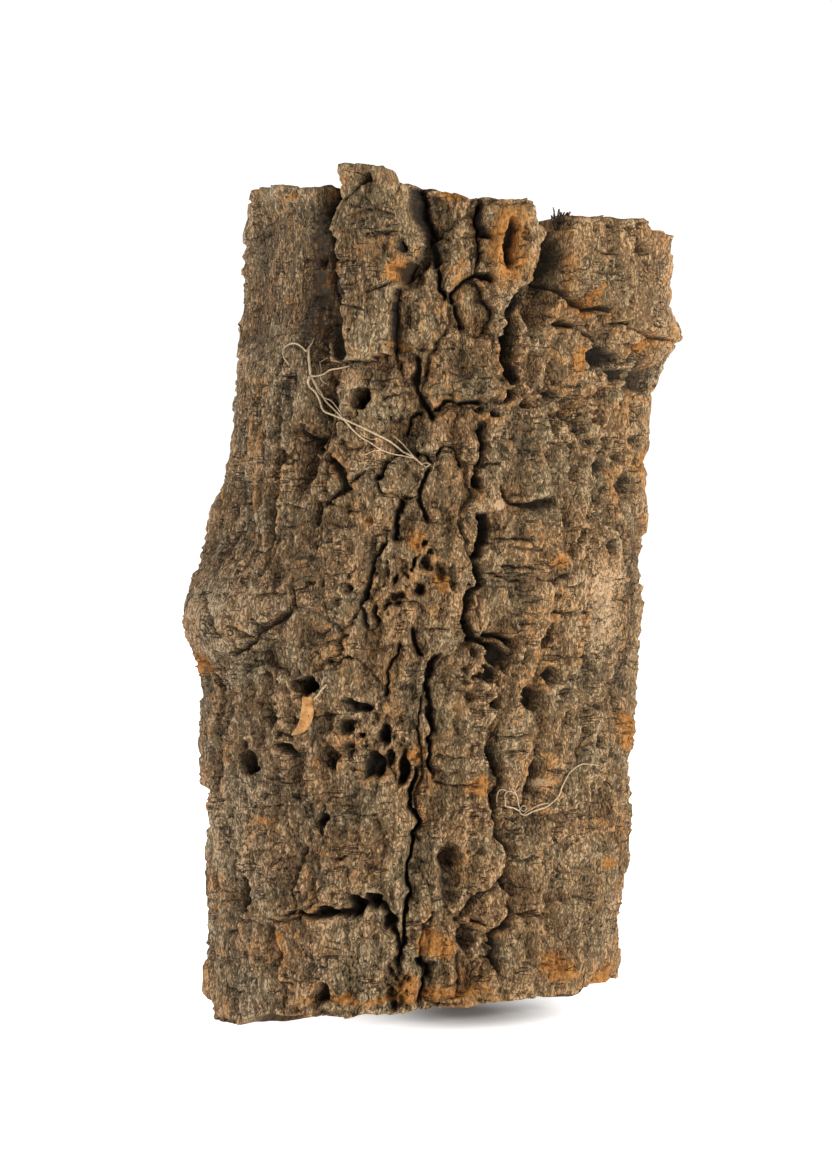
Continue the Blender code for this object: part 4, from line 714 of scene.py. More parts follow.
def edge_heights(angle, wall):
    """Height of the lower and the upper rim at each angle, and each share of the way through the
    wall. Both are roughest outside. The lower one is broken away there, above the floor, and at the
    front right it is clear of the floor from the outer face to the hollow."""
    front = sorted((float(girth_of(a)), float(z)) for a, z in (place_seen(*p) for p in TOP_EDGE))
    girths = [-WHOLE_GIRTH / 2, front[0][0] - 25, *[g for g, _ in front], front[-1][0] + 25, WHOLE_GIRTH / 2]
    tops = [BACK_EDGE, BACK_EDGE + 3, *[z for _, z in front], BACK_EDGE - 4, BACK_EDGE]
    x, y = form(angle, np.full(len(angle), float(BACK_EDGE)), WALL * wall)
    points = np.stack([x, y, np.full(len(angle), float(BACK_EDGE))], 1)
    outside = 1 - smooth_step(0.35, 0.8, wall)
    outer_edge = np.interp(girth_of(angle), girths, tops)
    inner_edge = np.minimum(BACK_EDGE, outer_edge - 2)
    high = inner_edge + (outer_edge - inner_edge) * outside
    high += (0.5 + 0.5 * outside) * (1.5 * noise_at(points, 13, 12) + 0.8 * noise_at(points, 4, 13))
    lift = smooth_curve(np.degrees(angle), *zip(*BASE_LIFT)) + 1.2 * noise_at(points, 9, 14)
    lifted = np.maximum(1 - smooth_step(*LIFTED_SHARES_OF_WALL, wall),
                        np.interp(np.degrees(angle), *zip(*WHOLLY_LIFTED)))
    low = -SAW_STOCK + np.maximum(lift, 0) * lifted
    return low, high


# %% The ring of addresses, and the place of each
COLUMNS, OUTER_ROWS, RIM_ROWS, INNER_ROWS = 216, 184, 4, 16
FINER = 2
CROWDING = 0.35


def spun_ring():
    bm = bmesh.new()
    outline = [(2, t) for t in np.linspace(0, 1, OUTER_ROWS + 1)]
    outline += [(2 - w, 1) for w in np.linspace(0, 1, RIM_ROWS + 1)[1:]]
    outline += [(1, t) for t in np.linspace(1, 0, INNER_ROWS + 1)[1:]]
    outline += [(2 - w, 0) for w in np.linspace(1, 0, RIM_ROWS + 1)[1:-1]]
    points = [bm.verts.new((0, -radius, height)) for radius, height in outline]
    edges = [bm.edges.new((points[k - 1], points[k])) for k in range(len(points))]
    bmesh.ops.spin(bm, geom=points + edges, cent=(0, 0, 0), axis=(0, 0, 1), dvec=(0, 0, 0),
                   angle=FULL_TURN, steps=COLUMNS, use_merge=True)
    bmesh.ops.remove_doubles(bm, verts=bm.verts, dist=1e-5)
    bm.normal_update()
    bmesh.ops.recalc_face_normals(bm, faces=bm.faces)
    return bm


def vertex_places(mesh):
    places = np.empty((len(mesh.vertices), 3), np.float32)
    mesh.vertices.foreach_get("co", places.ravel())
    return places.astype(float)


def carved(spun):
    """The place, in metres, of each address on the ring."""
    angle = np.arctan2(spun[:, 0], -spun[:, 1])
    angle -= CROWDING * np.sin(angle)
    wall = np.clip(2 - np.hypot(spun[:, 0], spun[:, 1]), 0, 1)
    low, high = edge_heights(angle, wall)
    height = low + (high - low) * spun[:, 2]
    not_inside = wall < 0.999
    relief = np.zeros(len(angle))
    relief[not_inside] = outer_bark(angle[not_inside], height[not_inside]).relief
    outer_x, outer_y = form(angle, height, -relief)
    inner_x, inner_y = form(angle, height, WALL + inner_relief(angle, height))
    x = outer_x + (inner_x - outer_x) * wall + TUBE_OFF_ORIGIN[0]
    y = outer_y + (inner_y - outer_y) * wall + TUBE_OFF_ORIGIN[1]
    return np.stack([x, y, height], 1) * MM


def new_object(name, bm):
    """Puts a bmesh in the scene as an object of that name."""
    mesh = bpy.data.meshes.new(name)
    bm.to_mesh(mesh)
    bm.free()
    obj = bpy.data.objects.new(name, mesh)
    bpy.context.scene.collection.objects.link(obj)
    return obj


def finish_modifiers(obj):
    """Gives an object the mesh that its modifiers make, and takes them off."""
    mesh = bpy.data.meshes.new_from_object(obj.evaluated_get(bpy.context.evaluated_depsgraph_get()))
    obj.modifiers.clear()
    rough, obj.data = obj.data, mesh
    bpy.data.meshes.remove(rough)
    return obj


bark = new_object("cork_bark", spun_ring())
split = bark.modifiers.new("Finer", "SUBSURF")
split.subdivision_type = "SIMPLE"
split.levels = split.render_levels = FINER
finish_modifiers(bark)
bark.data.vertices.foreach_set("co", carved(vertex_places(bark.data)).astype(np.float32).ravel())
bark.data.update()
print("carved", len(bark.data.vertices), "vertices")

# %% Thin out, and cut the holes that go through
FRONT_TRIANGLES = 140_000
REST_TRIANGLES = 46_000
FRONT_HALF_ANGLE = 1.75
THROUGH_HOLES = ((-79.5, 118.5, 4.6, 6), (-53, 157, 6, 4.6), (-26, 300, 4.6, 5.6))
PLUG_PAST_OUTSIDE, PLUG_PAST_INSIDE = 16, 12
PLUG_DROP = 2
PLUG_TAPER = (0.8, 1.1)
PLUG_ROUGHNESS = 0.3


def hole_plug(name, across, up, half_width, half_height):
    """A rough tapering plug through the wall, wider at the outer face than at the inner."""
    angle, height = place_seen(across, up)
    ends = form(angle, height, -PLUG_PAST_OUTSIDE), form(angle, height, WALL + PLUG_PAST_INSIDE)
    outer, inner = (Vector((x + TUBE_OFF_ORIGIN[0], y + TUBE_OFF_ORIGIN[1], z)) * MM
                    for (x, y), z in zip(ends, (height + PLUG_DROP, height - PLUG_DROP)))
    bm = bmesh.new()
    bmesh.ops.create_cone(bm, cap_ends=True, segments=28, radius1=PLUG_TAPER[0], radius2=PLUG_TAPER[1],
                          depth=(outer - inner).length)
    lengthways = [e for e in bm.edges if abs(e.verts[0].co.z - e.verts[1].co.z) > MM]
    bmesh.ops.subdivide_edges(bm, edges=lengthways, cuts=12)
    # Local X goes round the girth, local Y up the tube and local Z out of the wall.
    out = (outer - inner).normalized()
    side = Vector((0, 0, 1)).cross(out).normalized()
    turn = np.array([side, out.cross(side), out]).T
    places = np.array([v.co for v in bm.verts])
    wobble = 1 + PLUG_ROUGHNESS * noise_at(places * (1.4, 1.4, 220) + (across, up, 0), 1.0, 31, octaves=2)
    places *= np.stack([half_width * MM * wobble, half_height * MM * wobble, np.ones(len(wobble))], 1)
    for vertex, place in zip(bm.verts, places @ turn.T + np.array((outer + inner) / 2)):
        vertex.co = place
    bm.normal_update()
    bmesh.ops.recalc_face_normals(bm, faces=bm.faces)
    return new_object(name, bm)


def floor_block():
    bm = bmesh.new()
    bmesh.ops.create_cube(bm, size=0.5)
    bmesh.ops.translate(bm, verts=bm.verts, vec=(0, 0, -0.25))
    return new_object("below_the_saw", bm)


def triangle_count(mesh):
    return sum(len(face.vertices) - 2 for face in mesh.polygons)


def thin_out(obj, name, chosen, spared):
    """Thins an object, only where its vertices are chosen, until that many triangles are spared."""
    group = obj.vertex_groups.new(name=name)
    group.add(np.flatnonzero(chosen).tolist(), 1, "REPLACE")
    thin = obj.modifiers.new(name, "DECIMATE")
    thin.vertex_group = name
    thin.ratio = spared / triangle_count(obj.data)
    finish_modifiers(obj)
    obj.vertex_groups.clear()


def from_axis(mesh):
    """The angle, distance from the tube's leaning axis, and height of each vertex, in millimetres."""
    x, y, height = (vertex_places(mesh) / MM - (*TUBE_OFF_ORIGIN, 0)).T
    x -= smooth_curve(height, *zip(*LEAN))
    return np.arctan2(x, -y), np.hypot(x, y), height


def faces_viewer(mesh):
    """Which vertices are outside, on the side of the branch that the photo shows."""
    angle, radius, height = from_axis(mesh)
    outside = radius > form_radius(angle, height) - 0.75 * WALL
    return outside & (np.abs(angle) < FRONT_HALF_ANGLE)


front = faces_viewer(bark.data)
rough_front = front.mean() * triangle_count(bark.data)
thin_out(bark, "rest", ~front, rough_front + REST_TRIANGLES)
thin_out(bark, "front", faces_viewer(bark.data), FRONT_TRIANGLES + REST_TRIANGLES)
print("thinned to", triangle_count(bark.data), "triangles")
cutters = [floor_block()] + [hole_plug(f"hole_plug_{k}", *hole) for k, hole in enumerate(THROUGH_HOLES)]
for obj in cutters:
    cut = bark.modifiers.new(obj.name, "BOOLEAN")
    cut.operation, cut.solver, cut.object = "DIFFERENCE", "MANIFOLD", obj
finish_modifiers(bark)
for obj in cutters:
    bpy.data.objects.remove(obj)
bark.data.shade_smooth()
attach(bark, "root")
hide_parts("cork_tube")
print("the bark has", triangle_count(bark.data), "triangles")

# %% [markdown]
# ## What the material has to know
# The colour of cork depends on where it is: crests are rubbed pale, cracks hold dark dust and painted shade,
# broad hollows and holes are painted in shade, bare cork is orange, and the sawn rims and the hollow have no
# crust. So each of these facts is worked out
# for every vertex and kept in the mesh as an attribute, which the material reads. Crests and hollows
# are found by comparing each vertex with the average of its neighbours, over a short reach and a
# long one.

# %% Facts about each vertex
def averaged(places, edges, passes):
    """Places after each has moved to the average of its neighbours, so many times."""
    neighbours = np.bincount(edges.ravel(), minlength=len(places))
    for _ in range(passes):
        total = np.stack([
            np.bincount(edges[:, 0], places[edges[:, 1], axis], len(places))
            + np.bincount(edges[:, 1], places[edges[:, 0], axis], len(places)) for axis in range(3)
        ], 1)
        places = total / neighbours[:, None]
    return places


def keep(mesh, name, values):
    attribute = mesh.attributes.new(name, "FLOAT", "POINT")
    attribute.data.foreach_set("value", np.asarray(values, np.float32))
    print(name, "runs from", np.min(values).round(2), "to", np.max(values).round(2))


angle, radius, height = from_axis(bark.data)
facts = outer_bark(angle, height)
wall = np.clip((form_radius(angle, height) + facts.relief - radius) / WALL, 0, 1)
low, high = edge_heights(angle, wall)
for name in ("marks", "tone", "striated", "bare", "worn"):
    keep(bark.data, name, getattr(facts, name))
keep(bark.data, "wall", wall)
keep(bark.data, "from_rim", np.minimum(high - height, height - np.maximum(low, 0)))

# %% How far each vertex stands out from its neighbours
edges = np.empty((len(bark.data.edges), 2), np.int32)
bark.data.edges.foreach_get("vertices", edges.ravel())
places = vertex_places(bark.data) / MM
normals = np.empty((len(places), 3), np.float32)
bark.data.vertex_normals.foreach_get("vector", normals.ravel())
for name, passes in (("crest", 5), ("hump", 60)):
    keep(bark.data, name, np.einsum("ij,ij->i", places - averaged(places, edges, passes), normals))

# %% [markdown]
# ## The colour of cork
# The crust of old cork is grey-brown, finely mottled, and striped by fibres that run up the branch.
# Where it has broken away, the cork under it is orange. Every pattern here is noise, or the cells of
# a Voronoi pattern, on Object coordinates, which are metres, so that a scale of 500 has lumps of two
# millimetres. Fibres are cells drawn out upwards by a Mapping node. All the patterns and facts are
# added up to one number, how light a place is, and ramps turn it into the browns of the crust.

# %% Helpers for materials
class Paint:
    """A material, and short ways to add nodes to it."""

    def __init__(self, name, roughness):
        self.material = bpy.data.materials.new(name)
        self.material.use_nodes = True
        self.nodes, self.links = self.material.node_tree.nodes, self.material.node_tree.links
        self.shader = self.nodes["Principled BSDF"]
        self.shader.inputs["Roughness"].default_value = roughness
        self.shader.inputs["Specular IOR Level"].default_value = 0.2
        self.places = self.nodes.new("ShaderNodeTexCoord").outputs["Object"]

    def put(self, socket, value):
        if isinstance(value, bpy.types.NodeSocket):
            self.links.new(value, socket)
        elif socket.type == "RGBA":
            socket.default_value = (*value, 1)
        else:
            socket.default_value = value

    def node(self, kind, inputs=(), **settings):
        """A new node. Its inputs are given by name, each as a value or as another node's output."""
        node = self.nodes.new("ShaderNode" + kind)
        for name, value in settings.items():
            setattr(node, name, value)
        for name, value in dict(inputs).items():
            self.put(node.inputs[name], value)
        return node

    def fact(self, name):
        return self.node("Attribute", attribute_name=name).outputs["Fac"]

    def mapped(self, **inputs):
        """Object coordinates after a Mapping node, with its Scale or Location."""
        return self.node("Mapping", {"Vector": self.places, **inputs}).outputs["Vector"]

    def noise(self, scale, detail=3.0, roughness=0.6, places=None):
        inputs = {"Vector": places or self.places, "Scale": scale, "Detail": detail, "Roughness": roughness}
        return self.node("TexNoise", inputs).outputs["Fac"]

    def cells(self, scale, places):
        """How far a point is from the middle of its cell in a Voronoi pattern."""
        return self.node("TexVoronoi", {"Vector": places, "Scale": scale}).outputs["Distance"]

    def grains(self, scale, places):
        """A random value for each cell of a Voronoi pattern."""
        colour = self.node("TexVoronoi", {"Vector": places, "Scale": scale}).outputs["Color"]
        return self.node("SeparateColor", {"Color": colour}).outputs["Red"]

    def along(self, axis):
        """How far along X, Y or Z a point is."""
        return self.node("SeparateXYZ", {"Vector": self.places}).outputs[axis]

    def distance(self, places):
        """How far a point is from the origin."""
        return self.node("VectorMath", {"Vector": places}, operation="LENGTH").outputs["Value"]

    def maths(self, operation, *values):
        node = self.node("Math", operation=operation)
        for socket, value in zip(node.inputs, values):
            self.put(socket, value)
        return node.outputs["Value"]

    def total(self, *values):
        return reduce(partial(self.maths, "ADD"), values)

    def product(self, *values):
        return reduce(partial(self.maths, "MULTIPLY"), values)

    def highest(self, *values):
        return reduce(partial(self.maths, "MAXIMUM"), values)

    def swing(self, noise, share):
        """Noise as plus and minus, in that share."""
        return self.product(self.maths("SUBTRACT", noise, 0.5), share)

    def ramp(self, value, low, high, to_low=0.0, to_high=1.0):
        """Follows a value from low to high, smoothly."""
        ends = {"From Min": low, "From Max": high, "To Min": to_low, "To Max": to_high}
        node = self.node("MapRange", {"Value": value, **ends}, interpolation_type="SMOOTHSTEP")
        return node.outputs["Result"]

    def lines(self, noise, thin, wide):
        """Thin lines, where noise passes through its middle value."""
        return self.ramp(self.maths("ABSOLUTE", self.maths("SUBTRACT", noise, 0.5)), thin, wide, 1.0, 0.0)

    def mixed(self, share, first, second, blend="MIX"):
        node = self.node("Mix", data_type="RGBA", blend_type=blend)
        self.put(node.inputs["Factor"], share)
        colours = [socket for socket in node.inputs if socket.type == "RGBA"]
        for socket, value in zip(colours, (first, second)):
            self.put(socket, value)
        return next(socket for socket in node.outputs if socket.type == "RGBA")

    def finished(self, colour, relief, depth):
        """The material with its colour, and with bumps of that depth in metres."""
        bump = self.node("Bump", {"Height": relief, "Distance": depth})
        self.put(self.shader.inputs["Base Color"], colour)
        self.put(self.shader.inputs["Normal"], bump.outputs["Normal"])
        return self.material


# %% The patterns on the bark
paint = Paint("cork bark", 0.93)
grain = paint.grains(1600, paint.mapped(Scale=(1, 1, 0.45)))
fibres = paint.grains(1000, paint.mapped(Scale=(1, 1, 0.14)))
mottle = paint.noise(360, 3.0, 0.7)
blotches = paint.noise(42, 2.0, 0.5)
ripples = paint.noise(1, 2.0, 0.6, paint.mapped(Scale=(150, 150, 640)))
threads = paint.lines(paint.noise(620, 1.0, 0.5, paint.mapped(Scale=(1, 1, 0.035))), 0.0, 0.035)
pores = paint.ramp(paint.cells(420, paint.mapped(Scale=(1, 1, 0.7))), 0.08, 0.22, 1.0, 0.0)
pores = paint.product(pores, paint.ramp(paint.noise(85), 0.52, 0.62))
crackle = paint.lines(paint.noise(1, 2.0, 0.5, paint.mapped(Scale=(42, 42, 230))), 0.004, 0.022)
crackle = paint.product(crackle, paint.ramp(paint.noise(75, 2.0), 0.5, 0.58))
hairlines = paint.lines(paint.noise(60, 1.5, 0.5, paint.mapped(Scale=(1, 1, 0.8))), 0.002, 0.008)
hairlines = paint.product(hairlines, paint.ramp(paint.noise(64, 2.0), 0.48, 0.56))
crackle = paint.highest(crackle, hairlines)

# %% How light each place is: above 0 it is paler than the plain crust, and below 0 darker
striated = paint.fact("striated")
stripes = paint.swing(fibres, paint.maths("MULTIPLY_ADD", striated, 0.6, 0.4))
# This holds painted shade: the hump ramp darkens the broad hollows and lifts the humps a little, as light and
# shade would, and the ovals of paler and darker bark add their painted light and shade.
lightness = paint.total(
    paint.swing(grain, 1.35), stripes, paint.swing(mottle, 0.2), paint.swing(ripples, 0.35),
    paint.swing(blotches, 0.35), paint.product(threads, striated, 0.45),
    paint.product(paint.fact("tone"), 0.06), paint.product(paint.fact("worn"), 0.35),
    paint.product(paint.fact("crest"), 0.1), paint.ramp(paint.fact("hump"), -4.5, 4.0, -0.9, 0.32),
)

# %% The crust, greyer at the left, with rusty places, painted brown shade in broad hollows, and pale places that are partly rubbed cork and partly painted light
CRUST_DARK = (0.034, 0.022, 0.012)
CRUST = (0.128, 0.084, 0.045)
CRUST_PALE = (0.44, 0.31, 0.190)
OLIVE = (0.96, 0.99, 0.90)
OCHRE = (1.10, 0.94, 0.74)
GREYER = (0.98, 1.04, 1.18)
HOLLOW_SHADE_TINT = (0.80, 0.72, 0.62)
RUSTY = (0.30, 0.155, 0.055)
PALE_WEAR_AND_LIGHT = (0.50, 0.34, 0.195)

crust = paint.mixed(paint.ramp(lightness, -1.0, 0.0), CRUST_DARK, CRUST)
crust = paint.mixed(paint.ramp(lightness, 0.05, 1.15), crust, CRUST_PALE)
tint = paint.mixed(paint.ramp(paint.noise(36, 5.0, 0.65), 0.38, 0.62), OLIVE, OCHRE)
crust = paint.mixed(1.0, crust, tint, "MULTIPLY")
to_left = paint.ramp(paint.along("X"), -0.11, 0.0, 1.0, 0.0)
crust = paint.mixed(to_left, crust, GREYER, "MULTIPLY")
rusty = paint.ramp(paint.total(paint.noise(62, 4.0, 0.7), paint.swing(grain, 0.12)), 0.56, 0.68)
rusty = paint.product(rusty, paint.maths("MULTIPLY_ADD", to_left, -0.4, 0.45))
crust = paint.mixed(rusty, crust, RUSTY)
# Painted shade: broad hollows are tinted browner and darker.
crust = paint.mixed(paint.ramp(paint.fact("hump"), -6.0, 0.5, 1.0, 0.0), crust, HOLLOW_SHADE_TINT, "MULTIPLY")
# Paler places: partly rubbed cork, and partly painted light on places that face the lamps.
worn = paint.total(paint.fact("worn"), paint.swing(blotches, 1.2), paint.swing(grain, 1.6))
crust = paint.mixed(paint.ramp(worn, 0.3, 3.0, 0.0, 0.85), crust, PALE_WEAR_AND_LIGHT)

# %% Bare cork, in its drawn places, in stray specks and on some sharp edges
BARE_DEEP = (0.15, 0.056, 0.013)
BARE_PALE = (0.41, 0.185, 0.048)

bare = paint.total(
    paint.fact("bare"), paint.swing(mottle, 0.9), paint.swing(blotches, 0.9), paint.swing(grain, 0.3),
)
stray = paint.ramp(paint.noise(95, 5.0, 0.7), 0.66, 0.76)
stray = paint.product(stray, paint.maths("MULTIPLY_ADD", to_left, -0.6, 0.8))
sharp = paint.product(paint.ramp(paint.fact("crest"), 0.3, 0.9), paint.ramp(paint.noise(40), 0.54, 0.62), 0.5)
bare = paint.highest(paint.ramp(bare, 0.2, 0.5), stray, sharp)
bare_cork = paint.mixed(paint.ramp(lightness, -0.8, 1.0), BARE_DEEP, BARE_PALE)
surface = paint.mixed(bare, crust, bare_cork)

# %% Dust and painted shade in cracks, pores and small hollows, which are painted nearly black
DUST_AND_SHADE = (0.010, 0.007, 0.004)

dust_and_shade = paint.highest(
    paint.ramp(paint.fact("marks"), 2.5, 8.0), paint.product(pores, 0.55),
    paint.ramp(paint.fact("crest"), -1.5, -3.4), paint.product(crackle, 0.8),
)
surface = paint.mixed(paint.product(dust_and_shade, 0.9), surface, DUST_AND_SHADE)

# %% Inside the wall: the sawn rims, the walls of the holes, and the hollow, with painted shade in the holes and under the lifted rim
SAWN = (0.46, 0.285, 0.135)
SAWN_DARK = (0.24, 0.125, 0.05)
HOLE_SHADE = (0.05, 0.03, 0.016)
HOLLOW = (0.27, 0.155, 0.075)
HOLLOW_DARK = (0.085, 0.047, 0.022)

wall = paint.fact("wall")
rings = paint.maths("SINE", paint.maths("MULTIPLY_ADD", wall, 62.0, paint.product(blotches, 16.0)))
sawn = paint.mixed(paint.ramp(rings, -1.0, 1.0, 0.1, 0.9), SAWN_DARK, SAWN)
sawn = paint.mixed(paint.ramp(lightness, -0.5, 0.5, 0.35, 0.0), sawn, CRUST_DARK)
past_crust = paint.ramp(wall, 0.2, 0.4)
# Painted shade: the walls of the holes, deep inside the wall, are painted nearly black.
shaded_hole_walls = paint.product(paint.ramp(wall, 0.4, 0.6), paint.ramp(wall, 0.9, 0.97, 1.0, 0.0))
surface = paint.mixed(shaded_hole_walls, surface, HOLE_SHADE)
at_rim = paint.product(past_crust, paint.ramp(paint.fact("from_rim"), 4.0, 7.0, 1.0, 0.0))
surface = paint.mixed(at_rim, surface, sawn)
# Painted shade: the cut faces inside the crust, in the lowest 12 to 20 mm, under the lifted rim, are painted
# nearly black.
under = paint.product(past_crust, paint.ramp(paint.along("Z"), 0.012, 0.020, 1.0, 0.0), 0.8)
surface = paint.mixed(under, surface, DUST_AND_SHADE)
hollow = paint.mixed(paint.ramp(lightness, -0.5, 0.5), HOLLOW_DARK, HOLLOW)
surface = paint.mixed(paint.ramp(wall, 0.9, 0.98), surface, hollow)

# %% The bark's finest relief, and its material
relief = paint.total(
    paint.product(stripes, 0.8), paint.swing(mottle, 0.25), paint.swing(grain, 0.8),
    paint.swing(ripples, 0.5), paint.product(pores, -0.7), paint.product(crackle, -0.9),
)
bark.data.materials.clear()
bark.data.materials.append(paint.finished(surface, relief, 0.0013))
print("the bark's material has", len(paint.nodes), "nodes")

# %% [markdown]
# ## What has caught on the bark
# The rootlets, the leaf and the lichen are drawn on the same elevation as the bark. A strand is a
# row of places, each found by looking from the eye towards the bark, so that it lies on whatever is
# there. It bridges narrow cracks, because a dry strand is stiff.

# %% Laying a line on the bark
EYE = Vector((TUBE_OFF_ORIGIN[0], TUBE_OFF_ORIGIN[1] - EYE_DISTANCE, EYE_HEIGHT)) * MM
STRAND_STEP = 0.7
STIFFNESS = 40
bark_tree = BVHTree.FromObject(bark, bpy.context.evaluated_depsgraph_get())


def sight_line(across, up):
    """Direction from the eye to a point of the elevation."""
    drawn = Vector((TUBE_OFF_ORIGIN[0] + across, TUBE_OFF_ORIGIN[1], up)) * MM
    return (drawn - EYE).normalized()


def evenly_spaced(line, step):
    """Points a step apart on a smooth curve through the given ones."""
    line = np.asarray(line, float)
    lengths = np.concatenate([[0], np.cumsum(np.hypot(*np.diff(line, axis=0).T))])
    at = np.linspace(0, lengths[-1], max(3, round(lengths[-1] / step) + 1))
    return np.stack([smooth_curve(at, lengths, axis) for axis in line.T], 1)


def laid_on_bark(line, clearance, step=STRAND_STEP):
    """Places along a line of the elevation, clear of the bark that the eye sees behind each."""
    ways = [sight_line(*point) for point in evenly_spaced(line, step)]
    seen = [bark_tree.ray_cast(EYE, way)[3] or EYE_DISTANCE * MM for way in ways]
    limit = np.array(seen) - clearance * MM
    laid = limit.copy()
    for _ in range(STIFFNESS):
        laid[1:-1] = np.minimum(limit[1:-1], (laid[:-2] + laid[2:]) / 2)
    return [EYE + way * depth for way, depth in zip(ways, laid)]


def tubes(name, strands):
    """One mesh object of round strands, each a row of places and its radius in mm at each."""
    curve = bpy.data.curves.new(name, "CURVE")
    curve.dimensions = "3D"
    curve.bevel_depth = MM
    curve.bevel_resolution = 2
    curve.use_fill_caps = True
    for places, radii in strands:
        spline = curve.splines.new("POLY")
        spline.points.add(len(places) - 1)
        for point, place, radius in zip(spline.points, places, radii):
            point.co = (*place, 1)
            point.radius = radius
    drawn = bpy.data.objects.new(name + "_curve", curve)
    bpy.context.scene.collection.objects.link(drawn)
    mesh = bpy.data.meshes.new_from_object(drawn.evaluated_get(bpy.context.evaluated_depsgraph_get()))
    bpy.data.objects.remove(drawn)
    mesh.name = name
    obj = bpy.data.objects.new(name, mesh)
    bpy.context.scene.collection.objects.link(obj)
    mesh.shade_smooth()
    return obj


print("the bark in front of the eye is", round(bark_tree.ray_cast(EYE, sight_line(0, 235))[3], 3), "m away")

# %% The rootlets: radius at the start and at the end, and the line, of each strand
UPPER_ROOTLETS = (
    (0.3, 0.5, ((-63.8, 319), (-66.5, 323.5), (-66.2, 326.5), (-63, 329), (-60, 329.2), (-57, 327.5),
                (-54.7, 325.5), (-53.8, 326.8))),
    (0.5, 0.15, ((-53.8, 326.8), (-52, 329.5), (-51, 332))),
    (0.6, 0.6, ((-53.5, 326.5), (-53.5, 321), (-53, 316), (-52.8, 313.5))),
    (0.5, 0.3, ((-52.8, 313), (-50.1, 313), (-46.5, 313.8), (-43, 316), (-38.5, 316.8), (-33.2, 318))),
    (0.55, 0.4, ((-53.2, 312.8), (-54, 310.7), (-53.2, 307.6), (-50.5, 305.2), (-48.3, 301), (-46.5, 296.1),
                 (-40.5, 293.1), (-34.5, 290.7), (-27.7, 287.6), (-20.5, 284), (-12.5, 279.8), (-9.5, 277.5),
                 (-6.5, 275), (-2.2, 273), (1.4, 270.1), (3.2, 268.6))),
    (0.45, 0.3, ((-52.2, 312.2), (-50.1, 308.2), (-47.7, 305.2), (-45.2, 300.5), (-42.2, 297.5),
                 (-39.2, 294.5), (-35.6, 290.7), (-32, 286.5), (-27.7, 282.5), (-22.2, 279.2), (-17.5, 276.1),
                 (-11.5, 274), (-5.2, 272.8), (-1.7, 272))),
    (0.35, 0.25, ((-50.8, 310.7), (-49, 305.2), (-46, 302.2), (-43, 301), (-39.2, 296.8), (-36.8, 293.1))),
    (0.3, 0.15, ((-17.5, 276), (-22.2, 275.2), (-25.2, 273.8), (-29, 273.8))),
    (0.28, 0.2, ((-11.5, 283), (-7.7, 280), (-4, 276), (-1, 272.5), (2.5, 269.2), (5.5, 269.5), (6.8, 269),
                 (5, 267.5), (3.8, 268.2))),
    (0.15, 0.2, ((-48.3, 320.5), (-47.5, 316.8), (-47.1, 310.7), (-44.7, 309))),
    (0.16, 0.1, ((-48.3, 319.8), (-44, 322.2))),
    (0.2, 0.12, ((-27.7, 284), (-24.7, 282.2), (-22.2, 281.3), (-19, 282))),
)
LOWER_ROOTLETS = (
    (0.25, 0.5, ((91.4, 118.3), (87, 118.8), (83.2, 119), (80.4, 117.6), (77, 114.8), (75, 111.5),
                 (73, 107.5), (71.2, 102.8), (68.4, 100), (65.5, 97.8), (61.5, 96.3), (57.9, 95.1),
                 (54.5, 93.5), (52.5, 94.1), (51.5, 96))),
    (0.3, 0.35, ((66.5, 99.5), (61.5, 98.5), (58.8, 97.2), (55.9, 95.5), (54, 94.1))),
    (0.28, 0.28, ((55.2, 96.8), (54.8, 97.8), (53.8, 98.2), (52.8, 97.8), (52.3, 96.8), (52.8, 95.8),
                  (53.8, 95.4), (54.8, 95.8), (55.2, 96.8))),
    (0.35, 0.3, ((51.5, 95.6), (48.8, 97), (46.3, 97.5), (44.7, 98), (44.7, 100.5), (44.5, 103.8),
                 (45.7, 105.1), (48.2, 105), (50.4, 103), (51.1, 99.5), (51.9, 96))),
    (0.3, 0.35, ((40.3, 100), (40.5, 103.2), (42, 106), (44, 106.1), (45.7, 105.1))),
    (0.12, 0.25, ((47, 110.5), (48.2, 107.5), (50.2, 103.5))),
)
KNOBBLY = 0.22


def rootlet(name, lines):
    """A dried rootlet with its branches. A strand swells and thins a little along its way."""
    strands = []
    for k, (first, last, line) in enumerate(lines):
        places = laid_on_bark(line, max(first, last))
        swelling = noise_at(np.array(places) / MM, 2.4, 40 + k)
        radii = np.linspace(first, last, len(places)) * (1 + KNOBBLY * swelling)
        strands.append((places, radii))
    obj = tubes(name, strands)
    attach(obj, "root")
    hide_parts(name)
    return obj


upper_rootlets = rootlet("upper_rootlets", UPPER_ROOTLETS)
lower_rootlets = rootlet("lower_rootlets", LOWER_ROOTLETS)

# %% The colour of dry rootlets
ROOTLET_SHADED = (0.36, 0.25, 0.14)
ROOTLET_PALE = (0.58, 0.45, 0.30)
ROOTLET_BROWN = (0.26, 0.15, 0.07)

fibre = Paint("dried rootlet", 0.7)
streaks = fibre.noise(1500, 2.0)
straw = fibre.mixed(fibre.ramp(streaks, 0.35, 0.65), ROOTLET_SHADED, ROOTLET_PALE)
straw = fibre.mixed(fibre.ramp(fibre.noise(260), 0.56, 0.70, 0.0, 0.7), straw, ROOTLET_BROWN)
fibre.finished(straw, streaks, 0.0003)
for obj in (upper_rootlets, lower_rootlets):
    obj.data.materials.append(fibre.material)
    print(obj.name, "has", triangle_count(obj.data), "triangles")

# %% [markdown]
# ## The leaf
# A small dead leaf has curled into half a pipe. A flat grid is bent onto a line that hangs from the
# hole: its first coordinate runs along the leaf and its second across it. Solidify gives it its
# thickness. Its stalk is still on it.

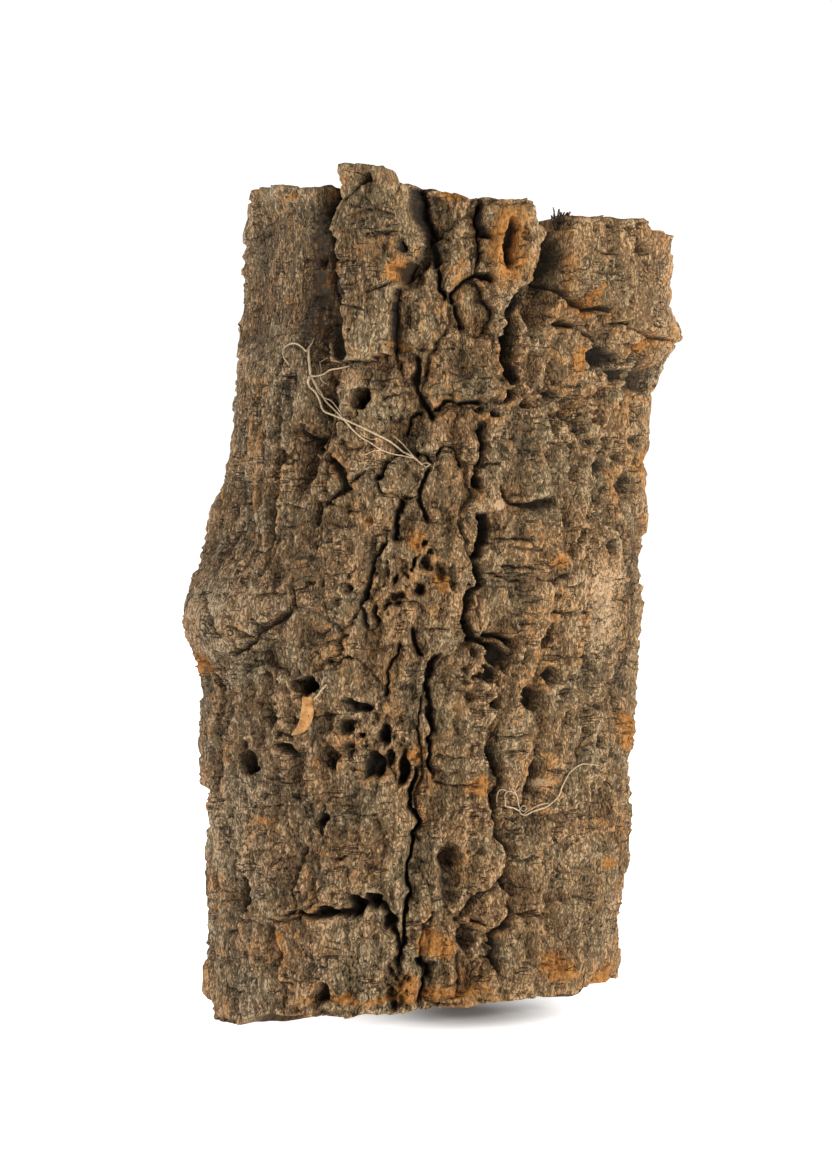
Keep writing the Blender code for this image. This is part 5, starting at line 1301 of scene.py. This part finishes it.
# %% The leaf's shape
LEAF_LINE = ((-54, 154.5), (-54.1, 148), (-54.6, 144), (-55.5, 140), (-57.5, 136.8), (-62.2, 133.6))
LEAF_HALF_WIDTHS = ((0, 2.2), (0.12, 2.7), (0.5, 2.8), (0.72, 2.3), (0.88, 1.2), (1, 0.15))
LEAF_STALK = ((-51, 151.2), (-49, 153.6), (-47, 156.4), (-44.6, 158.7))
LEAF_LENGTHWAYS, LEAF_ACROSS = 26, 10
LEAF_CLEARANCE = 2.6
LEAF_HALF_BEND = 1.1
LEAF_THICKNESS = 0.35
TORN_TOP = 0.08
LOOK_ALONG = 0.04


def curled_leaf(name):
    bm = bmesh.new()
    bm.loops.layers.uv.new("leaf")
    bmesh.ops.create_grid(bm, x_segments=LEAF_LENGTHWAYS, y_segments=LEAF_ACROSS, size=1, calc_uvs=True)
    places = laid_on_bark(LEAF_LINE, LEAF_CLEARANCE, 0.25)
    at = np.linspace(0, 1, len(places))
    spine = np.array(places)
    for vertex in bm.verts:
        along, across = vertex.co.x / 2 + 0.5, vertex.co.y
        # The torn top is lowest in its middle.
        along += (1 - along) * TORN_TOP * (1 - across ** 2)
        middle = Vector([np.interp(along, at, axis) for axis in spine.T])
        ahead = Vector([np.interp(along + LOOK_ALONG, at, axis) for axis in spine.T])
        behind = Vector([np.interp(along - LOOK_ALONG, at, axis) for axis in spine.T])
        side = (ahead - behind).normalized().cross(Vector((0, 1, 0))).normalized()
        half_width = float(np.interp(along, *zip(*LEAF_HALF_WIDTHS)))
        bend = LEAF_HALF_BEND * across
        aside = half_width * math.sin(bend) / math.sin(LEAF_HALF_BEND)
        back = half_width * (1 - math.cos(bend)) / math.sin(LEAF_HALF_BEND)
        vertex.co = middle - side * aside * MM + Vector((0, back * MM, 0))
    leaf = new_object(name, bm)
    thick = leaf.modifiers.new("thickness", "SOLIDIFY")
    thick.thickness = LEAF_THICKNESS * MM
    rounded = leaf.modifiers.new("rounded", "SUBSURF")
    rounded.levels = rounded.render_levels = 1
    finish_modifiers(leaf)
    leaf.data.shade_smooth()
    return leaf


leaf = curled_leaf("dry_leaf")
stalk_places = laid_on_bark(LEAF_STALK, 0.6)
stalk = tubes("leaf_stalk", [(stalk_places, np.linspace(0.35, 0.55, len(stalk_places)))])

# %% The colour of a dead leaf
LEAF_DEEP, LEAF_TAN = (0.36, 0.16, 0.045), (0.55, 0.29, 0.10)
LEAF_VEIN = (0.40, 0.20, 0.07)
LEAF_EDGE_HIGHLIGHT = (0.70, 0.47, 0.27)
LEAF_TIP = (0.62, 0.40, 0.22)
LEAF_SPOTS = (0.16, 0.05, 0.02)

dead = Paint("dead leaf", 0.5)
uv = dead.node("UVMap", uv_map="leaf").outputs["UV"]
split_uv = dead.node("SeparateXYZ", {"Vector": uv})
along, across = split_uv.outputs["X"], split_uv.outputs["Y"]
from_midrib = dead.maths("ABSOLUTE", dead.maths("SUBTRACT", across, 0.5))
veins = dead.maths("SINE", dead.maths("MULTIPLY_ADD", from_midrib, -40.0, dead.product(along, 95.0)))
clouds = dead.noise(330)
tan = dead.mixed(dead.ramp(clouds, 0.35, 0.65), LEAF_DEEP, LEAF_TAN)
tan = dead.mixed(dead.ramp(veins, 0.6, 1.0, 0.0, 0.25), tan, LEAF_VEIN)
# Painted highlight along both edges of the curled leaf.
tan = dead.mixed(dead.ramp(from_midrib, 0.42, 0.49, 0.0, 0.8), tan, LEAF_EDGE_HIGHLIGHT)
tan = dead.mixed(dead.ramp(along, 0.8, 1.0, 0.0, 0.6), tan, LEAF_TIP)
tan = dead.mixed(dead.ramp(dead.noise(620, 2.0), 0.64, 0.72, 0.0, 0.85), tan, LEAF_SPOTS)
dead.finished(tan, dead.total(dead.product(veins, 0.25), dead.swing(clouds, 1.2)), 0.0004)
leaf.data.materials.append(dead.material)
stalk.data.materials.append(fibre.material)
for obj in (leaf, stalk):
    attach(obj, "root")
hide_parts("dry_leaf")
print("the leaf has", triangle_count(leaf.data), "triangles, and its stalk", triangle_count(stalk.data))

# %% [markdown]
# ## The lichen
# A tuft of dark lichen grips the upper rim. Its stalks start close together and fan out to the
# right. Each one is thick at its foot, crooked, and drawn from its foot to its tip, and some fork.
# A pale flake is caught among them.

# %% The tuft's stalks: foot, tip and radii at both, in mm on the elevation
STALKS = (
    ((70.4, 384.5), (68.9, 397.2), 0.9, 0.3), ((70.6, 384.5), (67.6, 393.2), 1.0, 0.65),
    ((71.0, 384.5), (71.2, 396.3), 1.1, 0.4), ((71.2, 384.5), (72.6, 394.6), 1.0, 0.5),
    ((71.4, 385), (74.2, 394.6), 0.9, 0.55), ((72.0, 386.5), (75.9, 395.2), 0.8, 0.6),
    ((72.4, 388.0), (77.4, 395.0), 0.7, 0.7), ((73.2, 390.0), (78.2, 393.2), 0.7, 0.5),
    ((76.2, 385.5), (73.6, 391.6), 0.8, 0.6), ((77.6, 385.5), (75.4, 390.8), 0.9, 0.5),
    ((71.4, 389.5), (69.8, 393.5), 0.8, 0.5), ((72.0, 390.5), (76.6, 392.4), 0.7, 0.4),
)
STALK_DEPTH_SPREAD = 1.6
STALK_CROOKEDNESS = 0.8
STALK_PLACES = 14
FLAKE = (74.6, 387.6, 2.2, 2.0)
FLAKE_HALF_THICKNESS = 0.8
BEHIND_EDGE = 8
TUFT_DEPTH = form(*place_seen(71, 386))[1] + BEHIND_EDGE


def in_tuft(across, up, further_back=0.0):
    """The place in the tuft that the eye sees at a point of the elevation."""
    way = sight_line(across, up)
    depth = (TUFT_DEPTH + further_back + TUBE_OFF_ORIGIN[1]) * MM
    return EYE + way * ((depth - EYE.y) / way.y)


def lichen_stalks():
    random = np.random.default_rng(SEED + 4)
    strands = []
    for foot, tip, thick, thin in STALKS:
        for _ in range(2):
            back = random.uniform(-STALK_DEPTH_SPREAD, STALK_DEPTH_SPREAD, 2)
            start, end = in_tuft(*foot, back[0]), in_tuft(*tip, 2 * back[1])
            up_stalk = np.linspace(0, 1, STALK_PLACES)
            places = np.array([start.lerp(end, t) for t in up_stalk]) / MM
            bent = [noise_at(places + 50 * len(strands) + k, 4, 60, octaves=2) for k in (0, 300, 600)]
            places += STALK_CROOKEDNESS * np.stack(bent, 1) * up_stalk[:, None]
            radii = np.interp(up_stalk, (0, 0.8, 1), (thick, thin, 0.6 * thin))
            radii *= 1 + 0.3 * noise_at(places, 1.3, 61)
            strands.append(([Vector(place) * MM for place in places], radii))
    return strands


tuft = tubes("rim_tuft", lichen_stalks())
flake_mesh = bmesh.new()
bmesh.ops.create_icosphere(flake_mesh, subdivisions=3, radius=1)
flake_places = np.array([vertex.co for vertex in flake_mesh.verts])
flake_places *= 0.85 + 0.5 * noise_at(flake_places * 10, 9, 62)[:, None]
flake_places *= np.array([FLAKE[2], FLAKE_HALF_THICKNESS, FLAKE[3]]) * MM
for vertex, place in zip(flake_mesh.verts, flake_places + np.array(in_tuft(*FLAKE[:2], 1.0))):
    vertex.co = place
flake = new_object("rim_flake", flake_mesh)
flake.data.shade_smooth()

# %% The colour of the lichen and the flake
LICHEN_DARK, LICHEN_BROWN = (0.012, 0.008, 0.006), (0.09, 0.055, 0.035)
LICHEN_CRUST = (0.33, 0.22, 0.15)
FLAKE_SHADED, FLAKE_PALE = (0.38, 0.32, 0.24), (0.58, 0.51, 0.42)

lichen = Paint("dark lichen", 0.85)
spots = lichen.noise(900, 3.0, 0.7)
crusty = lichen.mixed(lichen.ramp(spots, 0.35, 0.7), LICHEN_DARK, LICHEN_BROWN)
crusty = lichen.mixed(lichen.ramp(lichen.noise(420, 2.0), 0.55, 0.68, 0.0, 0.75), crusty, LICHEN_CRUST)
tuft.data.materials.append(lichen.finished(crusty, spots, 0.0006))
flaky = Paint("pale flake", 0.8)
mealy = flaky.noise(700, 3.0, 0.7)
flaky.finished(flaky.mixed(flaky.ramp(mealy, 0.35, 0.65), FLAKE_SHADED, FLAKE_PALE), mealy, 0.0004)
flake.data.materials.append(flaky.material)
for obj in (tuft, flake):
    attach(obj, "root")
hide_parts("rim_tuft")
print("the tuft has", triangle_count(tuft.data), "triangles")

# %% [markdown]
# ## Floor, light and camera
# The photo is of the branch on a white table, in soft studio light that comes mostly from the right
# and the front. A white world, dimmer behind the camera than above and beyond, gives the even part,
# and three soft lamps the rest. The table is so bright that only the shadow where the branch
# touches it shows. One bright lamp from above could do that too, but it would flatten the bark, so
# the table glows a little instead, except in that shadow. The camera looks level from about half
# way up.

# %% The floor
floor_mesh = bmesh.new()
bmesh.ops.create_grid(floor_mesh, x_segments=1, y_segments=1, size=30)
floor = new_object("floor", floor_mesh)
SHADOW_MIDDLE = (0.015, -0.035)
SHADOW_REACH = (0.005, 0.075)
floor_paint = Paint("white table", 0.9)
off_middle = floor_paint.mapped(Location=(-SHADOW_MIDDLE[0], -SHADOW_MIDDLE[1], 0))
glow = floor_paint.ramp(floor_paint.distance(off_middle), *SHADOW_REACH)
floor_paint.put(floor_paint.shader.inputs["Base Color"], (0.93, 0.93, 0.93))
floor_paint.put(floor_paint.shader.inputs["Emission Color"], (1, 1, 1))
floor_paint.put(floor_paint.shader.inputs["Emission Strength"], glow)
floor.data.materials.append(floor_paint.material)

# %% The light
scene = bpy.context.scene
scene.view_settings.view_transform = "Standard"
scene.view_settings.look = "None"
DARK_ROOM, BRIGHT_ROOM, WHITE_BACKDROP = 0.18, 0.56, 1.1
world = bpy.data.worlds.new("white studio")
world.use_nodes = True
nodes, links = world.node_tree.nodes, world.node_tree.links
background = nodes["Background"]
background.inputs["Color"].default_value = (1, 1, 1, 1)
way = nodes.new("ShaderNodeSeparateXYZ")
links.new(nodes.new("ShaderNodeTexCoord").outputs["Generated"], way.inputs[0])
room = nodes.new("ShaderNodeMapRange")
for name, value in (("From Min", -0.95), ("From Max", -0.15), ("To Min", DARK_ROOM), ("To Max", BRIGHT_ROOM)):
    room.inputs[name].default_value = value
links.new(way.outputs["Y"], room.inputs["Value"])
seen = nodes.new("ShaderNodeMapRange")
seen.inputs["To Max"].default_value = WHITE_BACKDROP
links.new(nodes.new("ShaderNodeLightPath").outputs["Is Camera Ray"], seen.inputs["Value"])
links.new(room.outputs["Result"], seen.inputs["To Min"])
links.new(seen.outputs["Result"], background.inputs["Strength"])
scene.world = world


def soft_lamp(name, place, width, power):
    lamp = bpy.data.lights.new(name, "AREA")
    lamp.shape = "DISK"
    lamp.size = width
    lamp.energy = power
    obj = bpy.data.objects.new(name, lamp)
    obj.location = place
    obj.rotation_euler = (Vector(LIT_MIDDLE) - Vector(place)).to_track_quat("-Z", "Y").to_euler()
    scene.collection.objects.link(obj)


LIT_MIDDLE = (0, 0, 0.15)
soft_lamp("side lamp", (2.2, -0.85, 0.4), 0.5, 32)
soft_lamp("front lamp", (1.3, -1.6, 0.9), 0.4, 13)
soft_lamp("left fill", (-2.1, -0.7, 0.35), 1.0, 24)

# %% The camera
FOCAL_LENGTH_IN_PHOTO_HEIGHTS = 2400 / 1176
PICTURE_CENTRE_ABOVE_EYE = -56 / 1176
camera = bpy.data.objects.new("camera", bpy.data.cameras.new("camera"))
camera.data.sensor_fit = "VERTICAL"
camera.data.sensor_height = 36
camera.data.lens = 36 * FOCAL_LENGTH_IN_PHOTO_HEIGHTS
camera.data.shift_y = PICTURE_CENTRE_ABOVE_EYE
camera.location = EYE
camera.rotation_euler = (math.pi / 2, 0, 0)
scene.collection.objects.link(camera)
scene.camera = camera
print("the camera's lens is", round(camera.data.lens, 1), "mm")
